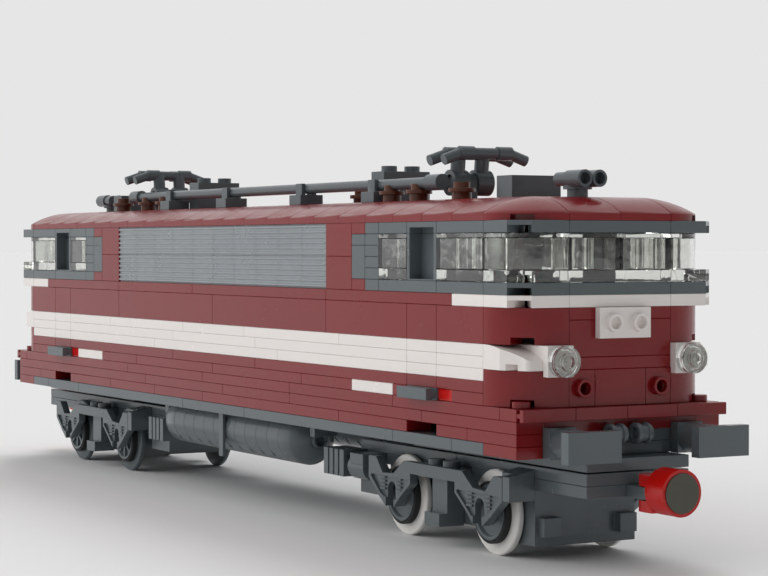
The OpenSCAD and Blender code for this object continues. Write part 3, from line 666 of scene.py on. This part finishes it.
grille_bricks = [
    prism(grille_outline(level(row) + SEAM / 2, level(row + 3) - SEAM / 2),
          column * 2 * STUD + SEAM, (column + 1) * 2 * STUD - SEAM, "x", FLUTE_EASE)
    for row in (SILL_ROW, SILL_ROW + 3) for column in range(-5, 5)]
print("grille bricks on one side:", len(grille_bricks))

# %% [markdown]
# ## The roof
# Curved slope bricks run along both edges of the roof, and around its ends, up to a flat
# deck. The roof's height is one formula, so every brick of it is a grid over its own
# part of the plan, lifted to that height and closed underneath.

# %% Roof bricks as pieces of one height field
LIP = 1.9
CURVE_W = 2 * STUD
CURVE_STEPS = 14
RISE = DECK - level(ROOF_ROW) - LIP
ROOF_R = (CURVE_W ** 2 + RISE ** 2) / (2 * RISE)


def roof_height(distance):
    """Height of the roof at a distance from its edge: the lip, plus an arc that reaches
    the deck at the curve's width and is flat beyond it."""
    away = np.clip(CURVE_W - distance, 0, CURVE_W)
    return level(ROOF_ROW) + LIP + np.sqrt(ROOF_R ** 2 - away ** 2) - (ROOF_R - RISE)


def graded(low, high, count, ease=EASE):
    """Places between two ends, with one close to each end for the eased edge."""
    inner = np.linspace(low + ease, high - ease, count)
    return np.concatenate([[low], inner, [high]])


def roof_brick(x, y, z, foot=0.0):
    """Closed solid between two sheets over a grid of plan points: the upper sheet is at z,
    lowered by the ease round the border, the lower one at the lip's level plus the foot.
    Both are quads on the same grid, and quads round the border join them."""
    m, n = x.shape
    border = np.ones((m, n), bool)
    border[1:-1, 1:-1] = False
    upper = np.stack([x, y, np.where(border, z - EASE, z)], -1).reshape(-1, 3)
    lower = np.stack([x, y, level(ROOF_ROW) + SEAM / 2 + foot + 0 * x], -1).reshape(-1, 3)
    index = np.arange(m * n).reshape(m, n)
    rim = np.concatenate([index[:-1, 0], index[-1, :-1], index[:0:-1, -1], index[0, :0:-1]])
    quads = np.stack([index[:-1, :-1], index[1:, :-1], index[1:, 1:], index[:-1, 1:]], -1)
    quads = quads.reshape(-1, 4)
    below = m * n + rim
    sides = np.stack([rim, below, np.roll(below, -1), np.roll(rim, -1)], -1)
    faces = np.concatenate([quads, quads[:, ::-1] + m * n, sides]).tolist()
    return np.concatenate([upper, lower]), faces


def roof_field(x0, x1, y0, y1, nx=2, ny=2):
    """Roof brick over a rectangle of the plan."""
    x, y = np.meshgrid(graded(x0 + SEAM, x1 - SEAM, nx), graded(y0 + SEAM, y1 - SEAM, ny),
                       indexing="ij")
    return roof_brick(x, y, roof_height(np.minimum(HALF_L - np.abs(x), HALF_W - np.abs(y))))


def roof_corner():
    """Quarter dome over a nose corner, on a grid of radius and angle: its height goes by
    the radius alone. Under the diagonal its foot is notched, as on the walls below."""
    half, step, deep, start = NOTCH_TURN, 0.3, 2.0, 0.4
    arc = np.sort(np.concatenate([
        graded(step - 90, -step, 27, ease=0.6),
        [-45 - step - half, -45 - half, -45 + half, -45 + step + half]]))
    wall = NOSE_R - deep
    reach = np.sort(np.append(graded(start, NOSE_R, CURVE_STEPS), [wall - SEAM, wall]))
    radius, angle = np.meshgrid(reach, np.radians(arc), indexing="ij")
    notch = (np.abs(np.degrees(angle) + 45) < half + step / 2) & (radius > wall - SEAM / 2)
    return roof_brick(CORNER[0] + radius * np.cos(angle), CORNER[1] + radius * np.sin(angle),
                      roof_height(NOSE_R - radius), foot=notch * (NOTCH_H - start))


slope_w = 2 * STUD
side_slopes = [roof_field(i * slope_w - STUD, (i + 1) * slope_w - STUD, -HALF_W,
                          CURVE_W - HALF_W, ny=CURVE_STEPS) for i in range(-10, 11)]
deck_joints = [i * STUD for i in (-21, -15, -9, -3, 3, 9, 15, 21)]
deck = [roof_field(a, b, CURVE_W - HALF_W, HALF_W - CURVE_W)
        for a, b in zip(deck_joints[:-1], deck_joints[1:])]
end_slopes = [roof_field(NOSE_X, HALF_L, y, y + slope_w, nx=CURVE_STEPS)
              for y in (-slope_w, 0)]
print("roof bricks:", 2 * len(side_slopes) + len(deck) + 2 * len(end_slopes) + 4)

# %% [markdown]
# ## Building the body's pieces
# The solids now become pieces, one for each colour or unit that a person would name. Each
# stands for the CAD node of the same walls. One piece for each brick would be truer to the
# toy, but the bricks don't move against each other, and hundreds of pieces are slow.

# %% Walls, sill and stripe
def body_piece(name, finish, solids, node):
    """A piece of one finish that rides on the body and stands for one CAD node."""
    return make_piece(name, [(finish, solids)], "body", [node])


GREY_BACK, TILE_BACK = 0.4, 0.6      # how far they lie behind the red bricks' faces
sill_front = [front_brick(-3, 3, row, row + 1) for row in (2, LEDGE_ROW)]
sill_grey = [front_brick(-3, 3, 0, 1, NOSE_R, GREY_BACK),
             front_brick(-3, 3, 1, 2, STUD, GREY_BACK)]
corner_studs = [stud(HALF_L - STUD / 2, STUD / 2 - HALF_W, level(NOSE_ROW))]
make_piece("sill_bricks", [
    ("dark_red", both_sides(red_sill + sill_front) + four_corners(corner_studs)),
    ("dark_grey", both_sides(sill_grey))], "body", ["sill_walls"])
body_piece("wall_bricks", "dark_red", both_sides(red_walls), "side_walls")
body_piece("stripe_plates", "white", both_sides(white_stripe), "side_stripes")
body_piece("trim_plates_white", "white", both_sides(white_trim), "white_tiles")
red_trim = [side_brick(place, place + 1, NOSE_ROW, NOSE_ROW + 1, TILE_BACK)
            for place in (-DOOR_BACK, DOOR_FRONT)]
body_piece("trim_plates_red", "bright_red", both_sides(red_trim), "red_tiles")
floor_joints = (-21, -19, -15, -3, 3, 15, 19, 21)
floor = [block((a * STUD + SEAM, -HALF_W, level(0)), (b * STUD - SEAM, -SEAM, level(1) - SEAM))
         for a, b in zip(floor_joints[:-1], floor_joints[1:])]
body_piece("floor_bricks", "dark_grey", both_sides(floor), "floor_plates")
body_piece("grille_bricks", "light_grey", both_sides(grille_bricks), "side_grilles")


# %% [markdown]
# ## Nose, belt and window frames
# The nose is stacked like the sides, with round bricks at its corners. Above it come plates
# with cut corners, which are white under the windows and grey around them. The door's head
# has a shallow arch. An arch could be cut with a Boolean, but an outline needs no cutting.

# %% Nose, belt, window sills and heads
def nose_solids():
    """All bricks of one front wall and its round corners, without the belt above it."""
    corners = [round_corner(NOSE_ROW, SLOPE_ROW), round_corner(WALL_ROW, BELT_ROW)]
    middle = [front_brick(-1, 1, NOSE_ROW, SLOPE_ROW), front_brick(-2, 2, SLOPE_ROW, 8),
              front_brick(-2, 2, 8, 11), front_brick(-2, 2, 11, BELT_ROW)]
    studded = [solid for y in (-1.5 * STUD, 1.5 * STUD)
               for solid in nose_studded(y, NOSE_ROW, SLOPE_ROW)]
    return corners + [mirrored(c, 1) for c in corners] + middle + studded


for end in ("front", "rear"):
    body_piece(f"nose_bricks_{end}", "dark_red", at_end(end, nose_solids()), f"nose_{end}")
belt = four_corners([side_brick(19, CORNER_STUD, BELT_ROW, SILL_ROW), cut_corner(BELT_ROW)])
belt += both_sides([front_brick(-2, 2, BELT_ROW, SILL_ROW)])
body_piece("belt_plates", "white", belt, "nose_belts")
sill_joints = (POST, WINDOW, DOOR_FRONT, CORNER_STUD)
sill_plates = four_corners(course(SILL_ROW, GLASS_ROW, *sill_joints) + [cut_corner(SILL_ROW)])
sill_plates += both_sides([front_brick(-2, 2, SILL_ROW, GLASS_ROW)])
body_piece("window_sill_plates", "dark_grey", sill_plates, "window_sills")

RIM = 1.5        # width of the door arch's posts


def door_head():
    """Plate over the near front door: behind, a plain block; in front, an arch, whose
    outline in (z, x) has the door's opening cut into its lower half."""
    low, high = level(HEAD_ROW) + SEAM / 2, level(ROOF_ROW) - SEAM / 2
    a, b, arch = DOOR_BACK * STUD + SEAM, DOOR_FRONT * STUD - SEAM, level(HEAD_ROW + 0.5)
    outline = [(low, a), (high, a), (high, b), (low, b), (low, b - RIM), (arch, b - RIM),
               (arch, a + RIM), (low, a + RIM)]
    middle = STUD / 2 - HALF_W
    return [prism(outline, -HALF_W, middle, "y"),
            block((a, middle + SEAM, low), (b, STUD - HALF_W, high))]


head_joints = (POST, WINDOW, DOOR_BACK, None, DOOR_FRONT, CORNER_STUD)
heads = four_corners(course(HEAD_ROW, ROOF_ROW, *head_joints) + [cut_corner(HEAD_ROW)]
                     + door_head())
heads += both_sides([front_brick(-2, 2, HEAD_ROW, ROOF_ROW)])
body_piece("window_head_plates", "dark_grey", heads, "window_heads")
posts = [side_brick(POST, WINDOW, row, row + 1) for row in range(GLASS_ROW, HEAD_ROW)]
posts += [side_brick(POST_BACK, POST, GLASS_ROW, HEAD_ROW - 1),
          side_brick(POST_BACK, POST, HEAD_ROW - 1, HEAD_ROW)]
body_piece("post_bricks", "dark_grey", four_corners(posts), "window_posts")

# %% [markdown]
# ## The cab's clear bricks
# The windows are clear bricks with thin walls, so their rims and joints stay visible. A
# plate with a cut corner lies under a row of higher bricks, as in the coloured walls.

# %% Clear panes
SHELL = 1.3
SHELL_EASE = 0.1
PIN_R = 1.5


def clear_box(low, high):
    """Hollow clear brick, open underneath: four walls and a top, each a thin block, and
    a pin in every space between two studs along its length, as moulded bricks have."""
    low, high = np.array(low, float), np.array(high, float)
    top = high[2] - SHELL
    along = int(np.argmax(high[:2] - low[:2]))
    across = 1 - along
    parts = [block((*low[:2], top), high, SHELL_EASE)]
    for axis in (0, 1):
        for at_high_end in (False, True):
            a, b = low.copy(), np.array([*high[:2], top])
            if axis == along:
                a[across] += SHELL
                b[across] -= SHELL
            if at_high_end:
                a[axis] = high[axis] - SHELL
            else:
                b[axis] = low[axis] + SHELL
            parts.append(block(a, b, SHELL_EASE))
    foot = np.array([*(low + high)[:2] / 2, low[2] + SHELL_EASE])
    pin_h = top - foot[2]
    for k in range(1, round((high[along] - low[along]) / STUD)):
        foot[along] = low[along] + k * STUD
        parts.append(spun([(0, 0), (PIN_R, 0), (PIN_R, pin_h), (0, pin_h)], at=foot, steps=24))
    return parts


def clear_corner(row_a, row_b):
    """Clear quarter-round brick: an outer and an inner wall along the arc, a top, and an
    end wall at each end."""
    angle = np.radians(np.linspace(-90, 0, 19))
    way = np.column_stack([np.cos(angle), np.sin(angle)])
    low, high = level(row_a) + SEAM / 2, level(row_b) - SEAM / 2
    top = high - SHELL
    base = np.full(len(way), low)
    inner_r = NOSE_R - STUD
    parts = [wall_strip(CORNER + NOSE_R * way, CORNER + (NOSE_R - SHELL) * way, base, top),
             wall_strip(CORNER + (inner_r + SHELL) * way, CORNER + inner_r * way, base, top),
             wall_strip(CORNER + NOSE_R * way, CORNER + inner_r * way, base * 0 + top, high)]
    ends = [((NOSE_X + SEAM, SHELL - HALF_W), (NOSE_X + SHELL, STUD - SHELL - HALF_W)),
            ((HALF_L - STUD + SHELL, NOSE_R - SHELL - HALF_W),
             (HALF_L - SHELL, NOSE_R - HALF_W - SEAM))]
    return parts + [block((*a, low), (*b, top), SHELL_EASE) for a, b in ends]


def cab_solids():
    """Clear bricks of one cab: two sides, two corners and the front, each over a plate."""
    windows = [(DOOR_FRONT, CORNER_STUD), (WINDOW, DOOR_BACK)]
    side = [side_brick(a, b, GLASS_ROW, PANE_ROW) for a, b in windows] + [cut_corner(GLASS_ROW)]
    for a, b in windows:
        side += clear_box(*side_span(a, b, PANE_ROW, HEAD_ROW))
    side += clear_corner(PANE_ROW, HEAD_ROW)
    front = [front_brick(-2, 2, GLASS_ROW, PANE_ROW)]
    for a, b in ((-2, 0), (0, 2)):
        front += clear_box(*front_span(a, b, PANE_ROW, HEAD_ROW))
    return side + [mirrored(s, 1) for s in side] + front


for end in ("front", "rear"):
    body_piece(f"cab_panes_{end}", "clear", at_end(end, cab_solids()), f"cab_glass_{end}")

# %% [markdown]
# ## Head lamps
# Each lamp is a clear round plate on a white one. It is hollow behind, with a ring for a
# stud in front, so its rim reads as rings of light over the white plate. A solid drum of
# the same clear plastic would look black, because light could not get out of it again.

# %% Head lamp lenses
def lens(y):
    """Clear round plate facing forward: a spun cup, hollow behind, with a stud's ring."""
    r, wall, back, face = STUD / 2, 0.9, 0.02, PLATE
    ring_r, hole, top, sunk = STUD_D / 2, 1.5, face + 0.9, face - 0.5
    cup = [(r - wall, back), (r, back), (r, face), (ring_r, face), (ring_r, top), (hole, top),
           (hole, sunk), (0, sunk), (0, sunk - wall), (r - wall, sunk - wall)]
    foot = box_mm("lamp_lenses")[1][0] - face - STUD_H / 2
    return spun(cup, "x", (foot, y, level(WALL_ROW) - STUD / 2))


lenses = [lens(2.5 * STUD), lens(-2.5 * STUD)]
body_piece("lamp_lens_cups", "clear", both_sides(lenses), "lamp_lenses")

# %% [markdown]
# ## Roof and end ledges as pieces
# The roof's bricks were worked out above, so here they only become pieces. The ledge on
# each nose is a row of plates that carry a rail on a thin neck: one T-shaped outline,
# carried along the width of two studs for each plate.

# %% Roof and end ledges
body_piece("roof_slopes_sides", "dark_red", both_sides(side_slopes) + deck, "roof_middle")
body_piece("roof_slopes_ends", "dark_red",
           four_corners([roof_corner()]) + both_sides(end_slopes), "roof_ends")


def rail_outline(face, low):
    """T-shaped section of a railed plate in (z, x): a thin neck and a rail across it."""
    neck, rail = 1.2, 1.8
    middle, high, tip = low + PLATE / 2, low + PLATE, face + PLATE
    under, over, root = middle - neck / 2, middle + neck / 2, tip - rail
    return [(under, face), (over, face), (over, root), (high, root), (high, tip), (low, tip),
            (low, root), (under, root)]


ledges = [prism(rail_outline(HALF_L, level(LEDGE_ROW)), y + SEAM, y + slope_w - SEAM, axis="y")
          for y in np.arange(-HALF_W, HALF_W, slope_w)]
body_piece("ledge_rails", "dark_red", both_sides(ledges), "end_ledges")

# %% [markdown]
# ## Brake pipe ends
# Under the ledge two short tubes lie side by side, each with a flange at both ends and a
# stem into the body. A tube is round all along, so its whole shape is one spun profile.

# %% Brake pipe ends
def pipe_end(y):
    """Flanged tube across the front, spun about Y: the profile runs up its outside and
    down its bore, which stops short of the far end. A stem joins it to the wall."""
    hose_low, hose_high = box_mm("brake_hoses")
    outer, neck, bore, stem_r = 2.75, 2.25, 1.6, 1.6
    mouth, lip, bore_end, waist, flange, tail = -0.4, 1.0, 1.8, 2.9, 3.9, 4.6
    half_tube = 2.1
    x = hose_high[0] - outer
    z = (hose_low[2] + hose_high[2]) / 2
    tube = [(0, bore_end), (bore, bore_end), (bore, mouth), (outer, mouth), (outer, lip),
            (neck, lip), (neck, waist), (outer, waist), (outer, flange), (neck, flange),
            (neck, tail), (0, tail)]
    reach = x - HALF_L
    stem = spun([(0, 0), (stem_r, 0), (stem_r, reach), (0, reach)], "x", (HALF_L, y, z))
    return [spun(tube, "y", (x, y - half_tube, z)), stem]


pipe_ends = pipe_end(-STUD / 2) + pipe_end(STUD / 2)
body_piece("brake_pipe_ends", "dark_grey", both_sides(pipe_ends), "brake_hoses")


# %% [markdown]
# ## Bogie plates
# A bogie's frame is two layers of plates whose joints don't line up, which is what holds
# them together. The lower layer has a round tongue that carries the coupler.

# %% Bogie plates in two layers
TONGUE_R = 3.8
TONGUE_LENGTH = 6.6


def bogie_layers():
    """Plates of the front bogie: two layers whose joints don't line up, and the tongue,
    a rectangle that ends in a half circle about the coupler's pivot."""
    low, high = box_mm("bogie_plates_front")
    middle = (low[2] + high[2]) / 2
    pivot = high[0] - TONGUE_R
    end = pivot - TONGUE_LENGTH
    layers = []
    for z, joints in ((low[2], (0, 5, 11, 15)), (middle, (0, 7, 15))):
        for a, b in zip(joints[:-1], joints[1:]):
            layers.append(block((low[0] + a * STUD + SEAM, low[1], z + SEAM / 2),
                                (low[0] + b * STUD - SEAM, high[1], z + PLATE - SEAM / 2)))
    turn = np.radians(np.linspace(-90, 90, 17))
    round_end = np.column_stack([pivot + TONGUE_R * np.cos(turn), TONGUE_R * np.sin(turn)])
    outline = np.concatenate([[(end, -TONGUE_R)], round_end, [(end, TONGUE_R)]])
    return layers + [prism(outline, low[2], middle)]


for end in ("front", "rear"):
    make_piece(f"bogie_layers_{end}", [("dark_grey", at_end(end, bogie_layers()))],
               f"bogie_{end}", [f"bogie_plates_{end}"])

# %% [markdown]
# ## Wheels
# A wheel set is an axle with two wheels. Each wheel has a wide flange, a rubber tyre on
# its tread and a dished face. All of them are spun profiles, written in millimetres from
# the axle outward. The front pairs have white flanges and plain faces. The rear pairs are
# grey and have spokes, which are thin prisms laid on the dish.

# %% Spun wheels
WHEEL_IN = 16.3      # from the middle of the axle to a wheel's inner face
FLANGE_T = 2.0
TREAD_W = 2.2
FACE = FLANGE_T + TREAD_W
FLANGE_R = 11.6
TREAD_R = 8.4
DISC_R = 7.5
RIM_W = 0.9
HUB_R = 2.9
AXLE_R = 2.35
DISH = 1.1
SPOKES = 8


def wheel_spokes():
    """Spokes of the left wheel on an axle through the origin: one outline that narrows
    outward, turned by its share of a full turn and made a prism across the dish."""
    inner, outer, wide, narrow = HUB_R - 0.2, DISC_R - RIM_W, 0.7, 0.5
    outline = np.array([(inner, -wide), (outer, -narrow), (outer, narrow), (inner, wide)])
    low, high = WHEEL_IN + FACE - DISH - 0.1, WHEEL_IN + FACE - 0.25
    spokes = []
    for angle in np.arange(SPOKES) * math.tau / SPOKES:
        c, s = math.cos(angle), math.sin(angle)
        spokes.append(prism(outline @ np.array([[c, s], [-s, c]]), low, high, axis="y"))
    return spokes


def wheel_parts(centre, spoked):
    """Solids of a wheel set by finish. A profile is in (r, h), with h along the axle from
    the inner face of the wheel; the right wheel is the mirror of the left one."""
    tip, edge, tyre_face, sunk = FLANGE_R - 0.5, 0.35, FACE - 0.3, FACE - 0.2
    flange = [(AXLE_R, 0), (tip, 0), (FLANGE_R, edge), (FLANGE_R, FLANGE_T - edge),
              (tip, FLANGE_T), (AXLE_R, FLANGE_T)]
    tyre = [(DISC_R, FLANGE_T), (TREAD_R, FLANGE_T), (TREAD_R, tyre_face), (DISC_R, tyre_face)]
    disc = [(AXLE_R, FLANGE_T), (DISC_R, FLANGE_T), (DISC_R, FACE), (DISC_R - RIM_W, FACE),
            (DISC_R - 1.5, FACE - DISH), (HUB_R + 0.4, FACE - DISH), (HUB_R, sunk),
            (AXLE_R, sunk)]

    def on_axle(profile):
        """The profile spun as the left wheel's part, and its mirror image."""
        left = spun(profile, "y", centre + [0, WHEEL_IN, 0], steps=72)
        return [left, mirrored(left, 1)]

    end = WHEEL_IN + FACE
    axle = spun([(0, -end), (AXLE_R, -end), (AXLE_R, end), (0, end)], "y", centre)
    discs = on_axle(disc)
    for points, faces in wheel_spokes() if spoked else []:
        spoke = (points + centre, faces)
        discs += [spoke, mirrored(spoke, 1)]
    return on_axle(flange), on_axle(tyre), discs + [axle]


for number in (1, 2, 3, 4):
    node = f"wheelset_{number}"
    low, high = box_mm(node)
    spoked = number > 2
    flanges, tyres, discs = wheel_parts((low + high) / 2 * [1, 0, 1], spoked)
    colour = "dark_grey" if spoked else "wheel_white"
    make_piece(f"wheel_pair_{number}",
               [(colour, flanges), ("rubber", tyres), ("dark_grey", discs)],
               f"wheels_{number}", [node])

# %% [markdown]
# ## Air tanks
# Each tank is a row of ten round bricks, pressed together stud to stud and closed by a
# dome at both ends. A round brick has notches in its foot, so slits show at each joint.
# One mould drawing makes all ten, and the row is cut flat where the floor covers it.

# %% Air tanks
TANK_AT = np.array([0, 1.5 * STUD - HALF_W, level(0) - 0.7 * STUD])
TANK_R, DOME_LENGTH, DOME_TIP = STUD, 1.5 * STUD, STUD_D / 2
TANK_BRICKS, TANK_WALL, TANK_STEPS = 10, 2, 80
FOOT_NOTCH, FOOT_NOTCH_TURN = 0.9, 9


def round_brick(x):
    """Round brick of one stud's length along X. At angle a its foot is drawn back by the
    notch's depth where a is within the notch's turn of a diagonal."""
    bore = TANK_R - TANK_WALL
    points, faces = spun([(bore, 0), (TANK_R, 0), (TANK_R, STUD), (bore, STUD)], "x",
                         steps=TANK_STEPS)
    angle = np.degrees(np.arctan2(points[:, 2], points[:, 1]))
    notch = np.abs(angle % 90 - 45) < FOOT_NOTCH_TURN
    foot = points[:, 0] < STUD / 2
    points[notch & foot, 0] += FOOT_NOTCH
    return points + [x, 0, 0], faces


def tank_dome(x):
    """Dome spun over a circle's arc: its centre lies on the axis, where the arc passes
    through the brick's rim and the tip. A short drum joins it to the bricks."""
    centre = (DOME_LENGTH ** 2 + DOME_TIP ** 2 - TANK_R ** 2) / (2 * DOME_LENGTH)
    arc_r = math.hypot(TANK_R, centre)
    h = np.linspace(2 * centre, DOME_LENGTH, 12)
    arc = np.column_stack([np.sqrt(arc_r ** 2 - (h - centre) ** 2), h])
    return spun([(0, 0), (TANK_R, 0), *arc, (0, DOME_LENGTH)], "x", (x, 0, 0), TANK_STEPS)


half_tank = TANK_BRICKS / 2 * STUD
dome = tank_dome(half_tank)
tank_end = hollow_stud(half_tank + DOME_LENGTH, 0, 0, "x")
tank = [round_brick(i * STUD - half_tank) for i in range(TANK_BRICKS)]
tank += [dome, mirrored(dome, 0), tank_end, mirrored(tank_end, 0)]
tank = [(np.minimum(points + TANK_AT, [np.inf, np.inf, level(0)]), faces)
        for points, faces in tank]
body_piece("air_tank_bricks", "dark_grey", both_sides(tank), "air_tanks")

# %% [markdown]
# ## Fittings taken from the CAD
# Buffers, horns, insulators, pantographs and the bogies' frames already have their true
# shape in the CAD. What they lack is the softened edge of a moulded part. They could be
# drawn again from arrays, as the bricks were, but a Bevel modifier does it on the shape
# that is there. The CAD mesh itself is never changed: a copy is merged, its flat faces
# are joined, and the copy stands for the node.

# %% Softened copies of CAD nodes
WELD = 0.002                     # mm between points that count as one
FLAT_TURN = math.radians(0.4)    # turn up to which two faces count as one
SOFT_W = 0.14                    # width of the softened edge


def softened(node, finish):
    """Copy of a CAD node: doubles merged, coplanar triangles joined, and a bevel on every
    sharp edge."""
    mesh = bpy.data.meshes.new(node + "_moulded")
    form = bmesh.new()
    form.from_mesh(frame["nodes"][node].data)
    bmesh.ops.remove_doubles(form, verts=form.verts, dist=WELD * MM)
    bmesh.ops.dissolve_limit(form, angle_limit=FLAT_TURN, verts=form.verts, edges=form.edges)
    form.to_mesh(mesh)
    form.free()
    mesh.materials.clear()
    mesh.materials.append(FINISHES[finish])
    mesh.attributes.new("batch", "FLOAT", "POINT").data.foreach_set(
        "value", np.full(len(mesh.vertices), random.random(), np.float32))
    shade_by_angle(mesh)
    piece = bpy.data.objects.new(node + "_moulded", mesh)
    bpy.context.scene.collection.objects.link(piece)
    bevel = piece.modifiers.new("eased edges", "BEVEL")
    bevel.width = SOFT_W * MM
    bevel.segments = 2
    bevel.limit_method = "ANGLE"
    bevel.angle_limit = SHARP_TURN
    bevel.use_clamp_overlap = True
    return set_piece(piece, frame["nodes"][node]["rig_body"], [node])


GREY_NODES = ["bogie_bearers", "door_frames", "grab_handles", "buffers", "tank_straps",
              "roof_boxes", "horns", "roof_pipe", "pipe_clips", "roof_blocks",
              "pantograph_bases", "pantograph_front", "pantograph_rear"]
GREY_NODES += [f"{part}_{end}" for end in ("front", "rear")
               for part in ("motor", "pilot", "side_frames", "bogie_boxes")]
fittings = {node: "dark_grey" for node in GREY_NODES}
fittings |= {"corner_slopes": "white", "lamp_brackets": "white", "number_plates": "white",
             "insulators": "brown", "coupler_front": "bright_red",
             "coupler_rear": "bright_red", "magnet_front": "magnet", "magnet_rear": "magnet"}
for node, finish in fittings.items():
    softened(node, finish)
print("softened copies:", len(fittings))

# %% [markdown]
# ## Floor
# The model stands on a plain pale sheet, like the paper roll of a product studio. A curved
# sheet could hide its far edge, but a flat one of the background's tone does so as well.

# %% Floor
FLOOR_REACH = 30.0      # metres from the middle to each edge
floor_mesh = bpy.data.meshes.new("studio_floor")
edges = np.array([(-1, -1, 0), (1, -1, 0), (1, 1, 0), (-1, 1, 0)]) * FLOOR_REACH
floor_mesh.from_pydata(edges, [], [(0, 1, 2, 3)])
studio, _, shader, _ = new_material("matt_paper")
shader.inputs["Base Color"].default_value = linear("#e8e8e8")
shader.inputs["Roughness"].default_value = 1.0
shader.inputs["Specular IOR Level"].default_value = 0.0
floor_mesh.materials.append(studio)
floor_object = bpy.data.objects.new("studio_floor", floor_mesh)
bpy.context.scene.collection.objects.link(floor_object)
print("floor reaches", FLOOR_REACH, "m")

# %% [markdown]
# ## Light
# A light tent surrounds the model. It is brighter behind the model than before it, so
# the glossy sides reflect a soft gradient. Area lights would show their outline in the
# gloss and reach the floor unevenly, so two very soft suns give the direction instead.

# %% Light
def studio_world(bright, dim):
    """World whose light goes by direction: bright towards the rear of the model, dim
    towards its front, with a smooth step on the direction's X between the two."""
    world = bpy.data.worlds.new("studio_tent")
    world.use_nodes = True
    tree = world.node_tree
    tree.nodes.clear()
    way = add_node(tree, "ShaderNodeTexCoord").outputs["Generated"]
    x = add_node(tree, "ShaderNodeSeparateXYZ", links={"Vector": way}).outputs["X"]
    light = add_node(tree, "ShaderNodeMapRange", settings={"interpolation_type": "SMOOTHSTEP"},
                     links={"Value": x}, From_Min=-0.35, From_Max=0.8, To_Min=bright, To_Max=dim)
    background = add_node(tree, "ShaderNodeBackground",
                          links={"Strength": light.outputs["Result"]}, Color=(1, 1, 1, 1))
    add_node(tree, "ShaderNodeOutputWorld", links={"Surface": background.outputs[0]})
    bpy.context.scene.world = world


def sun(name, towards, strength, softness):
    """Sun light that shines along a direction, soft by the angle it fills, in degrees. It
    isn't reflected in the gloss, which only shows the even light of the tent."""
    data = bpy.data.lights.new(name, "SUN")
    data.energy = strength
    data.angle = math.radians(softness)
    lamp = bpy.data.objects.new(name, data)
    bpy.context.scene.collection.objects.link(lamp)
    lamp.visible_glossy = False
    flat = math.hypot(towards[0], towards[1])
    lamp.rotation_euler = (math.atan2(flat, -towards[2]), 0,
                           math.atan2(towards[1], towards[0]) - math.pi / 2)


studio_world(bright=0.791, dim=0.29)
sun("key", towards=(0.75, -0.6, -0.9), strength=1.3, softness=26)
sun("fill", towards=(0.7, 0.8, -0.3), strength=1.05, softness=60)

# %% [markdown]
# ## Camera
# The camera stands low, ahead of the model and to its right, and looks back along it with
# a long lens. So the nose and the whole side are seen at once, with little distortion.

# %% Camera
camera_data = bpy.data.cameras.new("camera")
camera_data.sensor_width = 36.0
camera_data.lens = 102.84
camera = bpy.data.objects.new("camera", camera_data)
bpy.context.scene.collection.objects.link(camera)
camera.location = (0.65117, -0.32954, 0.08283)
YAW, PITCH = 150.964, -1.083
camera.rotation_euler = (math.radians(90 + PITCH), 0, math.radians(YAW - 90))
bpy.context.scene.camera = camera
bpy.context.scene.view_settings.view_transform = "Standard"
print("camera looks along", YAW, "degrees")
